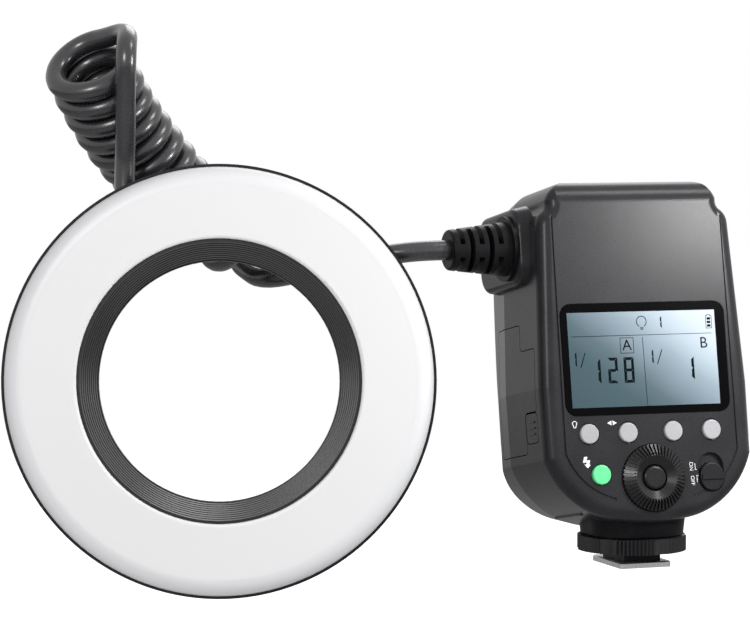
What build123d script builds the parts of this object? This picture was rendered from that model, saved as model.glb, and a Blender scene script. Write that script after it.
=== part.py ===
"""Macro ring flash: a shoe mounted controller, a ring shaped flash head and the curly cord between them.

Millimetres, +Z up. The origin is the centre of the shoe foot's underside and the panel faces -Y.
"""

import os
from math import cos, log, pi, radians, sin, sqrt, tan

from build123d import *

os.makedirs("parts", exist_ok=True)

OVERRUN = 6.0          # how far a cutter runs past what it cuts
SLIDE_GAP = 0.3        # round buttons, sliders and doors
SEAT_GAP = 0.2         # beside pieces that lie in a housing

# Frame of the controller
LEAN = 10.1            # degrees that the housing leans back on its shoe
PANEL_Y = -23.1        # where the panel's plane meets the foot's underside
LEAN_SIN = sin(radians(LEAN))
LEAN_COS = cos(radians(LEAN))
PANEL = Plane(origin=(0, PANEL_Y, 0), x_dir=(1, 0, 0), z_dir=(0, -LEAN_COS, LEAN_SIN))
SIDE = Plane(origin=(0, PANEL_Y, 0), x_dir=(0, LEAN_COS, -LEAN_SIN), z_dir=(1, 0, 0))
LEVEL = Plane(origin=PANEL.origin, x_dir=PANEL.x_dir, z_dir=PANEL.y_dir)

# Housing: widths are across the panel, heights are up it and depths are behind its face
HOUSING_HALF = 38.0
HOUSING_TOP = 132.5
HOUSING_FOOT = 16.6
HOUSING_DEPTH = 49.5
PARTING = 32.5         # depth of the joint between the two shells
WALL = 2.0
CHIN_HALF = 11.8       # the nearly flat stretch under the dial
CHIN_RISE = 1.2
CHEEK_UP = 39.0        # where the side starts to round into the chin
CHEEK_HALF = 37.8
CHEEK_MID_HALF = 30.6
CHEEK_MID_UP = 27.0
HIP_UP = 63.0          # widest point
SHOULDER_UP = 120.6
SHOULDER_HALF = 35.2
CAP_FOOT_UP = 123.4
CAP_HALF = 31.4
CAP_SIDE_UP = 126.2
CAP_MID_HALF = 28.6
CAP_MID_UP = 130.2
CAP_FLAT_HALF = 21.0
SHOULDER_ROUND = 6.0
CREASE_ROUND = 3.0
FRONT_ROLL = 4.2       # edge rounds
TOP_ROLL = 8.0
BACK_ROLL = 7.5
BACK_FOOT_ROLL = 5.0
PLAN_BEND = 4.0
CROWN_ROLL = 20.0      # the back of the top
REAR_DRAFT = 2.6       # how much the rear cover draws in at its back
EDGE_CHAMFER = 0.2      # openings in the panel

# Groove that parts the panel from the rails beside it
CREASE_HALF = 31.4
CREASE_TOP = 127.0
CREASE_HIP_HALF = 31.9
CREASE_CHEEK_UP = 40.55
CREASE_CHEEK_HALF = 31.9
CREASE_MID_HALF = 26.14
CREASE_MID_UP = 31.31
CREASE_CHIN_HALF = 14.0
CREASE_CHIN_UP = 24.45
CREASE_WIDTH = 0.9
CREASE_DEPTH = 0.45

# Screws that join the shells
POST_R = 3.2
SCREW_R = 1.2
SCREW_GAP = 0.05
SCREW_HEAD_R = 2.4
SCREW_HEAD = 1.6
SCREW_SOCKET_R = 1.3
SCREW_SINK = 3.9       # head's top below the rear face
SCREW_BITE = 9.0       # reach past the parting
UPPER_POST_HALF = 25.0
UPPER_POST_UP = 118.0
LOWER_POST_HALF = 22.0
LOWER_POST_UP = 34.0
LOWER_POST_DEPTH = 10.5

# Display
LCD_UP = 71.85
LCD_WIDTH = 60.4
LCD_HEIGHT = 37.5
LCD_CORNER = 4.0
LCD_RECESS = 1.3
LCD_BORDER = 2.0       # the ledge that carries the window
LCD_GLASS = 1.8
BACKLIGHT_THICK = 2.4
BACKLIGHT_INSET = 0.8

# Buttons
BUTTON_UP = 47.05
OUTER_BUTTON_HALF = 22.45
INNER_BUTTON_HALF = 8.25
BUTTON_R = 3.3
BUTTON_RISE = 0.9
BUTTON_ROUND = 0.4
BUTTON_TRAVEL = 0.5
FLANGE_R = 4.2
FLANGE_THICK = 0.5
FLANGE_GAP = 0.3       # under the panel wall
TEST_ACROSS = -19.0
TEST_UP = 33.3

# Dial with its set button
DIAL_UP = 31.6
DIAL_R = 11.2
DIAL_WELL = 1.8
DIAL_WELL_FLOOR = 1.4
DIAL_CREST_R = 8.3
DIAL_CREST = 3.0
DIAL_CREST_FLAT = 0.5
DIAL_RIM_RISE = 1.2
DIAL_HOLE_R = 4.5
DIAL_DISH_RISE = 1.2
DIAL_NECK_R = 5.3
DIAL_CLIP_R = 6.6
DIAL_CLIP = 0.7
DIAL_RIBS = 48
DIAL_NOTCH = 0.75      # width of the gaps between the ribs
DIAL_NOTCH_DEPTH = 0.7
SET_R = 4.1
SET_RISE = 1.9
SET_ROUND = 1.0

# Power switch
SWITCH_ACROSS = 21.4
SWITCH_UP = 32.7
SWITCH_WIDTH = 9.25
SWITCH_HEIGHT = 13.1
SWITCH_TRAVEL = 3.0
KNOB_RISE = 0.9
KNOB_BAR = 0.7
KNOB_BAR_HEIGHT = 1.75
SWITCH_POCKET = 1.6
SWITCH_FLOOR = 1.2
KNOB_STEM_WIDTH = 3.0
KNOB_STEM_HEIGHT = 2.8
KNOB_CLIP_EDGE = 0.8
KNOB_CLIP = 0.6

# Boards
BOARD = 1.6
CONTROL_DEPTH = 5.2    # front face of the control board
CONTROL_HALF = 27.5
CONTROL_FOOT = 24.5
CONTROL_TOP = 52.0
CONTROL_EDGE = 3.4     # clear of the housing's outline
CONTROL_BOSS_UP = 41.9
TACT_SIZE = 5.0
TACT_GAP = 0.3         # button at full travel to its switch
ENCODER_SIZE = 12.0
ENCODER_BACK = 3.4
ENCODER_GAP = 0.4
ENCODER_BORE_R = 3.0
MAIN_DEPTH = 8.6
MAIN_HALF = 33.0
MAIN_FOOT = 38.0
MAIN_TOP = 99.0
BOSS_R = 1.7
BOSS_EDGE = 2.0
SLIDE_SWITCH_WIDTH = 4.4
SLIDE_SWITCH_HEIGHT = 8.6
SLIDE_SWITCH_GAP = 0.4

# Flash capacitor and transformer
CAPACITOR_R = 11.5
CAPACITOR_ACROSS = 21.0
CAPACITOR_DEPTH = 31.0
CAPACITOR_FOOT = 40.0
CAPACITOR_TOP = 90.0
CAPACITOR_ROUND = 0.8
CRADLE_THICK = 3.0
CRADLE_HALF = 9.0
CRADLE_INSET = 9.0
TRANSFORMER_SIZE = 19.0
TRANSFORMER_ACROSS = 15.0
TRANSFORMER_UP = 101.5
TRANSFORMER_FLANGE = 3.0
TRANSFORMER_WAIST = 2.5

# Battery pack, its door and its latch, on the left side
DOOR_BACK = 41.5
DOOR_FRONT = 6.6
DOOR_FOOT = 41.8
DOOR_LATCH_TOP = 55.6
DOOR_LATCH_BACK = 16.6
DOOR_STEP_UP = 77.0
DOOR_STEP_DEPTH = 19.0
DOOR_TOP = 86.0
DOOR_CORNER = 1.6
DOOR_THICK = 3.4
LATCH_FOOT = 45.2
LATCH_THICK = 2.2
LATCH_RIDGES = 3
LATCH_RIDGE = 0.5
PACK_INSET = 1.0
PACK_FRONT = 12.0
PACK_END = -1.0
CONTACT_GAP = 0.4
CONTACT_THICK = 2.0
CONTACT_BACK = 34.0
CONTACT_FOOT = 54.0
CONTACT_TOP = 74.0
CONTACT_BLADE = 0.8
CONTACT_BLADES = 3
CONTACT_STEP = 6.0

# Cable entry on the left side
CABLE_UP = 112.0
CABLE_DEPTH = 20.0
CORD_R = 3.1
FAIRING_WIDTH = 38.0
FAIRING_HEIGHT = 28.0
FAIRING_DEPTH = 27.6   # centre
FAIRING_DRAFT = 2.4
FAIRING_OUT = 39.4
FAIRING_ROOT = 33.6
FAIRING_CORNER = 8.0
FAIRING_ROUND = 1.8
CABLE_HOLE_R = 5.2
BOOT_FLANGE_R = 11.0
BOOT_FLANGE = 1.4
BOOT_NECK_R = 5.0
BOOT_BASE_R = 9.2
BOOT_TIP_R = 6.8
BOOT_TIP = 61.0        # distance of its tip from the middle of the panel
BOOT_CORE_R = 4.0
BOOT_SLOTS = 5
BOOT_SLOT = 1.7
BOOT_SLOT_START = 3.0
BOOT_SLOT_STEP = 3.3
BOOT_WEB = 4.4
BOOT_ROUND = 0.9
CLAMP_R = 6.5
CLAMP_THICK = 2.4
CLAMP_OUT = 32.9       # distance of its outer face from the middle of the panel

# Ports on the right side
PORT_DEPTH = 21.0
PORT_UP = 54.0
PORT_WIDTH = 13.0
PORT_HEIGHT = 17.0
PORT_CORNER = 1.5
PORT_RECESS = 1.2
PORT_COVER = 0.8
JACK_UP = 58.2
JACK_R = 1.75
JACK_BODY_R = 3.4
JACK_LENGTH = 4.2
USB_UP = 50.2
USB_WIDTH = 3.4
USB_HEIGHT = 8.0
USB_SHELL = 0.4
PORT_FIT = 0.1

# Shoe foot
FOOT_WIDTH = 18.6
FOOT_LENGTH = 24.0
FOOT_THICK = 2.0
FOOT_CORNER = 1.0
FOOT_BEVEL = 0.4
BLOCK_WIDTH = 13.3
BLOCK_LENGTH = 17.6
BLOCK_TOP = 4.8
POST_TOP = 10.4        # also the collar's underside
STEM_R = 6.0
WHEEL_GAP = 0.3
WHEEL_R = 18.5
WHEEL_TURN = 9.7       # degrees
WHEEL_SECTORS = 6
WHEEL_RIBS = 9
WHEEL_RIB_SPAN = 38.0  # degrees that the ribs of a sector take
WHEEL_NOTCH = 0.9
WHEEL_SCALLOP_R = 5.0
WHEEL_SCALLOP_SINK = 0.9
WHEEL_BEVEL = 0.5
COLLAR_WIDTH = 32.8
COLLAR_LENGTH = 30.8
COLLAR_CORNER = 12.0
COLLAR_HEIGHT = 11.2
COLLAR_TAPER = -6.0    # degrees, wider upwards
COLLAR_ROUND = 0.5
PIN_R = 0.9
PIN_Y = -4.2
PIN_CLEAR = 0.1        # tip above the foot's underside
PIN_LENGTH = 5.0
CENTRE_CONTACT_R = 2.2
SIDE_CONTACT_R = 0.9
SIDE_CONTACT_ACROSS = 5.2
SIDE_CONTACT_BACK = 4.6
SIDE_CONTACT_FRONT = -0.8
CONTACT_SINK = 0.05
CONTACT_DEEP = 1.2

# Ring head: radii from its axis and levels along it, the viewer's side up
RING_YAW = 17.74
RING_TILT = 4.94
RING_ACROSS = -146.35
RING_BACK = 0.71
RING_HEIGHT = 66.41
RING_DEPTH = 26.0
RING_LIP = 0.75        # of the rim outside the diffuser
RING_WALL = 2.0
RING_RIM_TOP = 5.0     # depth of the dark rim behind the front plane
RING_RIM_FOOT = 12.0
RING_SHELF = 8.0       # the diffuser's seat
RING_SHELF_REACH = 1.15   # of the seat inside the lip
RING_STEP_TOP = 15.0
RING_STEP_IN = 2.4
RING_BODY_IN = 8.5
RING_BODY_TOP = 18.0
BORE_R = 39.8
BORE_TOP = 20.0
BAND_R = 46.1          # front edge of the dark baffle
BAND_SINK = 0.5
BAFFLE_WALL = 0.8
BAFFLE_GROOVES = 9
BAFFLE_GROOVE = 0.35
DIFFUSER_R = 70.0
DIFFUSER_EDGE = 5.5
DIFFUSER_INNER_ROUND = 1.2
DIFFUSER_INNER_DEPTH = 12.0
DIFFUSER_WALL = 2.0
DIFFUSER_GAP = 0.15
TRAY_INNER_GAP = 0.95
TRAY_OUTER_GAP = 1.6
TRAY_FLARE = 1.8
TRAY_TOP = 5.8
TRAY_FLOOR = 12.4
TRAY_WALL = 0.8
TUBE_R = 2.0
TUBE_IN = 5.6          # from the tray floor's outer edge
TUBE_SPAN = 150.0      # degrees
TUBE_GAP = 0.3
TUBE_CAP = 0.5
TUBE_CAP_SPAN = 3.0
LAMP_BOARD_GAP = 0.6
LAMP_BOARD_WIDTH = 4.4
LAMP_BOARD = 1.0
LAMP_R = 1.4
LAMP_RISE = 2.6
LAMP_START = 45.0
LAMPS = 4
RING_BOARD_IN_R = 43.0
RING_BOARD_OUT_R = 49.5
RING_BOARD = 1.4
RING_POST_R = 2.8
RING_POST_AT_R = 54.5
RING_POST_START = 45
RING_POSTS_COUNT = 4
RING_SCREW_R = 1.1
RING_SCREW_HEAD_R = 2.1
RING_SCREW_HEAD = 1.2
LATCH_DEEP = 9.4
LATCH_PROUD = 2.6
LATCH_WIDTH = 14.0
LATCH_LEVEL_TOP = 18.8
LATCH_LEVEL_FOOT = 23.7
GLAND_ACROSS = -31.0
GLAND_LEVEL = -19.2
GLAND_PROUD = 1.0
GLAND_DEEP = 11.0
GLAND_R = 5.6
GLAND_TIP_R = 4.6
GLAND_RINGS = 3
GLAND_RING = 0.9
GLAND_RING_DEPTH = 0.7

# Curly cord
COIL_R = 11.7
COIL_TURNS = 11.4
COIL_PITCH = 7.4       # at rest, towards the ring
COIL_LOOSE_PITCH = 11.4
COIL_LOOSE_LENGTH = 58.0
COIL_END_ANGLE = -68.84
COIL_SPANS = 46
COIL_STEP = 0.25
COIL_PROBE = 0.02
FILLET_SHARE = 0.45
COIL_ROUTE = [
    (-112.4, 66.4, 109.9), (-119.1, 65.7, 111.4), (-126.9, 65.1, 114.3), (-135.1, 63.7, 119.2),
    (-143.9, 61.6, 126.9), (-152.7, 58.0, 135.9), (-165.0, 51.7, 149.1), (-173.2, 45.9, 160.2),
    (-179.3, 40.9, 170.1),
]
LEAD_TO_COIL = [
    (-61.0, 16.2, 106.8), (-71.5, 16.2, 106.8), (-81.6, 20.5, 105.2), (-89.3, 28.4, 103.2),
    (-93.4, 37.4, 101.2),
]
LEAD_TO_RING = [
    (-169.3, 27.7, 156.0), (-168.6, 31.5, 146.4), (-168.2, 34.1, 136.3), (-168.5, 33.2, 125.7),
]


def save(piece, name):
    """Label a finished piece and write it as its own file."""
    piece.part.label = name
    export_step(piece.part, f"parts/{name}.step")


def housing_outline(inset):
    """The housing's outline seen square to the panel, drawn in by an inset."""
    with BuildSketch(Plane.XY) as outline:
        with BuildLine():
            ThreePointArc((0, HOUSING_FOOT), (CHIN_HALF / 2, HOUSING_FOOT + CHIN_RISE / 4),
                          (CHIN_HALF, HOUSING_FOOT + CHIN_RISE))
            ThreePointArc((CHIN_HALF, HOUSING_FOOT + CHIN_RISE), (CHEEK_MID_HALF, CHEEK_MID_UP),
                          (CHEEK_HALF, CHEEK_UP))
            Line((CHEEK_HALF, CHEEK_UP), (HOUSING_HALF, HIP_UP))
            FilletPolyline((HOUSING_HALF, HIP_UP), (SHOULDER_HALF, SHOULDER_UP), (CAP_HALF, CAP_FOOT_UP),
                           (CAP_HALF, CAP_SIDE_UP), radius=[SHOULDER_ROUND, CREASE_ROUND])
            ThreePointArc((CAP_HALF, CAP_SIDE_UP), (CAP_MID_HALF, CAP_MID_UP),
                          (CAP_FLAT_HALF, HOUSING_TOP))
            Line((CAP_FLAT_HALF, HOUSING_TOP), (0, HOUSING_TOP))
            mirror(about=Plane.YZ)
        make_face()
        if inset:
            offset(amount=-inset, mode=Mode.REPLACE)
    return outline.sketch


def housing_profile(inset):
    """The housing's side view: a rolled front edge on the top and a sloping crown behind it."""
    back = HOUSING_DEPTH - inset
    foot = HOUSING_FOOT + REAR_DRAFT + inset
    with BuildSketch(SIDE.offset(-2 * HOUSING_HALF)) as view:
        with BuildLine():
            FilletPolyline((inset, 0), (inset, HOUSING_TOP - inset), (back, HOUSING_TOP - inset),
                           (back, foot), (PARTING, foot - REAR_DRAFT - WALL / 2),
                           radius=[TOP_ROLL - inset, CROWN_ROLL - inset, BACK_FOOT_ROLL - inset])
            Polyline((PARTING, foot - REAR_DRAFT - WALL / 2), (PARTING, 0), (inset, 0))
        make_face()
    return view.sketch


def housing_plan(inset):
    """The housing seen from above, with its sides drawn in and rounded towards the back."""
    half = HOUSING_HALF - inset
    back = HOUSING_DEPTH - inset
    with BuildSketch(LEVEL) as view:
        with BuildLine():
            FilletPolyline((-half, 0), (-half, PARTING), (-(half - REAR_DRAFT), back),
                           (half - REAR_DRAFT, back), (half, PARTING), (half, 0),
                           radius=[PLAN_BEND, BACK_ROLL - inset, BACK_ROLL - inset, PLAN_BEND])
            Line((half, 0), (-half, 0))
        make_face()
    return view.sketch


def door_outline(inset):
    """The stepped end of the battery pack, as depth and height along the housing's side."""
    with BuildSketch(Plane.XY) as outline:
        Polygon((DOOR_BACK, DOOR_FOOT), (DOOR_BACK, DOOR_TOP), (DOOR_STEP_DEPTH, DOOR_TOP),
                (DOOR_STEP_DEPTH, DOOR_STEP_UP), (DOOR_FRONT, DOOR_STEP_UP), (DOOR_FRONT, DOOR_LATCH_TOP),
                (DOOR_LATCH_BACK, DOOR_LATCH_TOP), (DOOR_LATCH_BACK, DOOR_FOOT), align=None)
        fillet(outline.vertices(), DOOR_CORNER)
        if inset:
            offset(amount=-inset, mode=Mode.REPLACE)
    return outline.sketch


def latch_outline(inset):
    """The corner beside the battery pack that holds its latch."""
    with BuildSketch(Plane.XY) as outline:
        with Locations(((DOOR_FRONT + DOOR_LATCH_BACK) / 2, (LATCH_FOOT + DOOR_LATCH_TOP) / 2)):
            Rectangle(DOOR_LATCH_BACK - DOOR_FRONT - 2 * inset, DOOR_LATCH_TOP - LATCH_FOOT - 2 * inset)
        fillet(outline.vertices(), DOOR_CORNER)
    return outline.sketch


def end_face(piece, rank):
    """The rearmost (0) or foremost (-1) face along the panel's normal."""
    return piece.faces().sort_by(Axis(PANEL.origin, PANEL.z_dir))[rank]


OUTER = housing_outline(0)
INNER = housing_outline(WALL)
OUTER_BACK = housing_outline(REAR_DRAFT)
INNER_BACK = housing_outline(REAR_DRAFT + WALL)
PROFILE = housing_profile(0)
INNER_PROFILE = housing_profile(WALL)
PLAN = housing_plan(0)
INNER_PLAN = housing_plan(WALL)
SPAN = 4 * HOUSING_HALF

# Solid forms of the two shells and of what they enclose
with BuildPart() as front_form:
    with BuildSketch(PANEL):
        add(OUTER)
    extrude(amount=-PARTING)
    fillet(end_face(front_form, -1).edges(), FRONT_ROLL)
    extrude(PROFILE, amount=SPAN, mode=Mode.INTERSECT)

with BuildPart() as front_hollow:
    with BuildSketch(PANEL.offset(-WALL)):
        add(INNER)
    extrude(amount=-(PARTING - WALL))
    extrude(INNER_PROFILE, amount=SPAN, mode=Mode.INTERSECT)

with BuildPart() as rear_form:
    with BuildSketch(PANEL.offset(-PARTING)):
        add(OUTER)
    with BuildSketch(PANEL.offset(-HOUSING_DEPTH)):
        add(OUTER_BACK)
    loft(ruled=True)
    extrude(PROFILE, amount=SPAN, mode=Mode.INTERSECT)
    extrude(PLAN, amount=SPAN, mode=Mode.INTERSECT)

with BuildPart() as rear_hollow:
    with BuildSketch(PANEL.offset(-PARTING)):
        add(INNER)
    with BuildSketch(PANEL.offset(-(HOUSING_DEPTH - WALL))):
        add(INNER_BACK)
    loft(ruled=True)
    extrude(INNER_PROFILE, amount=SPAN, mode=Mode.INTERSECT)
    extrude(INNER_PLAN, amount=SPAN, mode=Mode.INTERSECT)

with BuildPart() as case_form:
    add(front_form.part)
    add(rear_form.part)

# The fairing round the cable, drafted outwards and split between both shells
with BuildPart() as fairing_form:
    with BuildSketch(SIDE.offset(-FAIRING_ROOT)):
        with Locations((FAIRING_DEPTH, CABLE_UP)):
            RectangleRounded(FAIRING_WIDTH, FAIRING_HEIGHT, FAIRING_CORNER)
    with BuildSketch(SIDE.offset(-FAIRING_OUT)):
        with Locations((FAIRING_DEPTH, CABLE_UP)):
            RectangleRounded(FAIRING_WIDTH - FAIRING_DRAFT, FAIRING_HEIGHT - FAIRING_DRAFT,
                             FAIRING_CORNER - FAIRING_DRAFT / 2)
    loft(ruled=True)
    fillet(fairing_form.faces().sort_by(Axis.X)[0].edges(), FAIRING_ROUND)
    extrude(PROFILE, amount=SPAN, mode=Mode.INTERSECT)

UPPER_POSTS = [(-UPPER_POST_HALF, UPPER_POST_UP), (UPPER_POST_HALF, UPPER_POST_UP)]
LOWER_POSTS = [(-LOWER_POST_HALF, LOWER_POST_UP), (LOWER_POST_HALF, LOWER_POST_UP)]
BUTTON_PLACES = {
    "button_left_outer": -OUTER_BUTTON_HALF, "button_left_inner": -INNER_BUTTON_HALF,
    "button_right_inner": INNER_BUTTON_HALF, "button_right_outer": OUTER_BUTTON_HALF,
}
SIGHT_WIDTH = LCD_WIDTH - 2 * LCD_BORDER
SIGHT_HEIGHT = LCD_HEIGHT - 2 * LCD_BORDER
MAIN_BOSSES = [(side * (MAIN_HALF - BOSS_EDGE), up) for side in (-1, 1)
               for up in (MAIN_FOOT + BOSS_EDGE, MAIN_TOP - BOSS_EDGE)]
CONTROL_BOSSES = [(side * (CONTROL_HALF - BOSS_EDGE), CONTROL_BOSS_UP) for side in (-1, 1)]

with BuildPart() as front_shell:
    add(front_form.part)
    add(fairing_form.part)
    split(bisect_by=PANEL.offset(-PARTING), keep=Keep.TOP)
    add(front_hollow.part, mode=Mode.SUBTRACT)
    # Floor of the dial's well, screw posts with their ribs, and board bosses
    with BuildSketch(PANEL.offset(-WALL / 2)):
        with Locations((0, DIAL_UP)):
            Circle(DIAL_R + WALL)
    extrude(amount=-(DIAL_WELL + DIAL_WELL_FLOOR - WALL / 2))
    with BuildSketch(PANEL.offset(-WALL / 2)):
        with Locations((SWITCH_ACROSS, SWITCH_UP)):
            SlotOverall(SWITCH_HEIGHT + WALL, SWITCH_WIDTH + WALL, rotation=90)
    extrude(amount=-(SWITCH_POCKET + SWITCH_FLOOR - WALL / 2))
    with BuildSketch(PANEL.offset(-WALL / 2)):
        with Locations(*UPPER_POSTS):
            Circle(POST_R)
    extrude(amount=-(PARTING - WALL / 2))
    with BuildSketch(PANEL.offset(-LOWER_POST_DEPTH)):
        with Locations(*LOWER_POSTS):
            Circle(POST_R)
            Rectangle(WALL, LOWER_POST_UP - HOUSING_FOOT - 2 * WALL, align=(Align.CENTER, Align.MAX))
    extrude(amount=-(PARTING - LOWER_POST_DEPTH))
    with BuildSketch(PANEL.offset(-WALL / 2)):
        with Locations(*MAIN_BOSSES):
            Circle(BOSS_R)
    extrude(amount=-(MAIN_DEPTH - WALL / 2))
    with BuildSketch(PANEL.offset(-WALL / 2)):
        with Locations(*CONTROL_BOSSES):
            Circle(BOSS_R)
    extrude(amount=-(CONTROL_DEPTH - WALL / 2))
    with BuildSketch(PANEL.offset(-PARTING)):
        with Locations(*UPPER_POSTS, *LOWER_POSTS):
            Circle(SCREW_R + SCREW_GAP)
    extrude(amount=SCREW_BITE + WALL, mode=Mode.SUBTRACT)
    # Openings in the panel
    with BuildSketch(PANEL.offset(OVERRUN)):
        with Locations((0, LCD_UP)):
            RectangleRounded(LCD_WIDTH, LCD_HEIGHT, LCD_CORNER)
    extrude(amount=-(OVERRUN + LCD_RECESS), mode=Mode.SUBTRACT)
    with BuildSketch(PANEL.offset(OVERRUN)):
        with Locations((0, LCD_UP)):
            Rectangle(SIGHT_WIDTH, SIGHT_HEIGHT)
        with Locations(*[(across, BUTTON_UP) for across in BUTTON_PLACES.values()],
                       (TEST_ACROSS, TEST_UP)):
            Circle(BUTTON_R + SLIDE_GAP)
        with Locations((SWITCH_ACROSS, SWITCH_UP)):
            Rectangle(KNOB_STEM_WIDTH + 2 * SLIDE_GAP, KNOB_STEM_HEIGHT + SWITCH_TRAVEL + 2 * SLIDE_GAP)
        with Locations((0, DIAL_UP)):
            Circle(DIAL_NECK_R + SLIDE_GAP)
    extrude(amount=-(OVERRUN + DIAL_WELL + DIAL_WELL_FLOOR + SLIDE_GAP), mode=Mode.SUBTRACT)
    with BuildSketch(PANEL.offset(OVERRUN)):
        with Locations((0, DIAL_UP)):
            Circle(DIAL_R + SLIDE_GAP)
    extrude(amount=-(OVERRUN + DIAL_WELL), mode=Mode.SUBTRACT)
    with BuildSketch(PANEL.offset(OVERRUN)):
        with Locations((SWITCH_ACROSS, SWITCH_UP)):
            SlotOverall(SWITCH_HEIGHT, SWITCH_WIDTH, rotation=90)
    extrude(amount=-(OVERRUN + SWITCH_POCKET), mode=Mode.SUBTRACT)
    chamfer(end_face(front_shell, -1).inner_wires().edges(), EDGE_CHAMFER)
    with BuildSketch(PANEL):
        with BuildLine():
            Polyline((0, CREASE_CHIN_UP), (CREASE_CHIN_HALF, CREASE_CHIN_UP))
            ThreePointArc((CREASE_CHIN_HALF, CREASE_CHIN_UP), (CREASE_MID_HALF, CREASE_MID_UP),
                          (CREASE_CHEEK_HALF, CREASE_CHEEK_UP))
            Polyline((CREASE_CHEEK_HALF, CREASE_CHEEK_UP), (CREASE_HIP_HALF, HIP_UP),
                     (CREASE_HALF, CREASE_TOP), (0, CREASE_TOP))
            mirror(about=Plane.YZ)
        make_face()
        offset(amount=-CREASE_WIDTH, mode=Mode.SUBTRACT)
        with Locations((0, CREASE_TOP)):
            Rectangle(2 * (CREASE_HALF - CREASE_WIDTH), 4 * CREASE_WIDTH, mode=Mode.SUBTRACT)
        with Locations((0, CREASE_CHIN_UP)):
            Rectangle(2 * CREASE_CHIN_HALF, 4 * CREASE_WIDTH, mode=Mode.SUBTRACT)
    extrude(amount=-CREASE_DEPTH, mode=Mode.SUBTRACT)
    # Left side: battery opening and cable hole
    with BuildSketch(SIDE.offset(-(HOUSING_HALF + OVERRUN))):
        add(door_outline(0))
        add(latch_outline(0))
    extrude(amount=OVERRUN + 3 * WALL, mode=Mode.SUBTRACT)
    with BuildSketch(SIDE.offset(-(HOUSING_HALF + OVERRUN))):
        with Locations((CABLE_DEPTH, CABLE_UP)):
            Circle(CABLE_HOLE_R)
    extrude(amount=OVERRUN + 4 * WALL, mode=Mode.SUBTRACT)
    # Right side: bay and holes of the ports
    with BuildSketch(SIDE.offset(HOUSING_HALF - PORT_RECESS)):
        with Locations((PORT_DEPTH, PORT_UP)):
            RectangleRounded(PORT_WIDTH, PORT_HEIGHT, PORT_CORNER)
    extrude(amount=OVERRUN, mode=Mode.SUBTRACT)
    with BuildSketch(SIDE.offset(HOUSING_HALF - 2 * WALL)):
        with Locations((PORT_DEPTH, JACK_UP)):
            Circle(JACK_BODY_R + PORT_FIT)
        with Locations((PORT_DEPTH, USB_UP)):
            RectangleRounded(USB_WIDTH + 2 * PORT_FIT, USB_HEIGHT + 2 * PORT_FIT, USB_WIDTH / 3)
    extrude(amount=OVERRUN, mode=Mode.SUBTRACT)
save(front_shell, "front_shell")

with BuildPart() as rear_posts:
    with BuildSketch(PANEL.offset(-PARTING)):
        with Locations(*UPPER_POSTS, *LOWER_POSTS):
            Circle(POST_R)
    extrude(amount=-(HOUSING_DEPTH - PARTING - WALL / 2))
    add(rear_form.part, mode=Mode.INTERSECT)

with BuildPart() as cradle:
    with BuildSketch(PANEL.offset(-CAPACITOR_DEPTH)):
        with Locations((CAPACITOR_ACROSS, CAPACITOR_FOOT + CRADLE_INSET),
                       (CAPACITOR_ACROSS, CAPACITOR_TOP - CRADLE_INSET)):
            Rectangle(2 * CRADLE_HALF, CRADLE_THICK)
    extrude(amount=-(HOUSING_DEPTH - WALL / 2 - CAPACITOR_DEPTH))
    with BuildSketch(LEVEL):
        with Locations((CAPACITOR_ACROSS, CAPACITOR_DEPTH)):
            Circle(CAPACITOR_R)
    extrude(amount=HOUSING_TOP, mode=Mode.SUBTRACT)

with BuildPart() as rear_cover:
    add(rear_form.part)
    add(fairing_form.part)
    split(bisect_by=PANEL.offset(-PARTING), keep=Keep.BOTTOM)
    add(rear_hollow.part, mode=Mode.SUBTRACT)
    add(rear_posts.part)
    add(cradle.part)
    with BuildSketch(PANEL.offset(-PARTING + OVERRUN)):
        with Locations(*UPPER_POSTS, *LOWER_POSTS):
            Circle(SCREW_R + SCREW_GAP)
    extrude(amount=-HOUSING_DEPTH, mode=Mode.SUBTRACT)
    with BuildSketch(PANEL.offset(-(HOUSING_DEPTH + OVERRUN))):
        with Locations(*UPPER_POSTS, *LOWER_POSTS):
            Circle(SCREW_HEAD_R + SEAT_GAP)
    extrude(amount=OVERRUN + SCREW_SINK + SCREW_HEAD, mode=Mode.SUBTRACT)
    with BuildSketch(SIDE.offset(-(HOUSING_HALF + OVERRUN))):
        add(door_outline(0))
    extrude(amount=OVERRUN + 3 * WALL, mode=Mode.SUBTRACT)
save(rear_cover, "rear_cover")

HEAD_SEAT = HOUSING_DEPTH - SCREW_SINK - SCREW_HEAD
with BuildPart() as case_screws:
    with BuildSketch(PANEL.offset(-HEAD_SEAT)):
        with Locations(*UPPER_POSTS, *LOWER_POSTS):
            Circle(SCREW_HEAD_R)
    extrude(amount=-SCREW_HEAD)
    with BuildSketch(PANEL.offset(-HEAD_SEAT)):
        with Locations(*UPPER_POSTS, *LOWER_POSTS):
            Circle(SCREW_R)
    extrude(amount=HEAD_SEAT - PARTING + SCREW_BITE)
    with BuildSketch(PANEL.offset(-(HEAD_SEAT + SCREW_HEAD))):
        with Locations(*UPPER_POSTS, *LOWER_POSTS):
            RegularPolygon(SCREW_SOCKET_R, 6)
    extrude(amount=SCREW_HEAD / 2, mode=Mode.SUBTRACT)
save(case_screws, "case_screws")

# Display stack
with BuildPart() as lcd_window:
    with BuildSketch(PANEL.offset(-LCD_RECESS)):
        with Locations((0, LCD_UP)):
            RectangleRounded(LCD_WIDTH - SEAT_GAP, LCD_HEIGHT - SEAT_GAP, LCD_CORNER)
    extrude(amount=LCD_RECESS)
save(lcd_window, "lcd_window")

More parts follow.
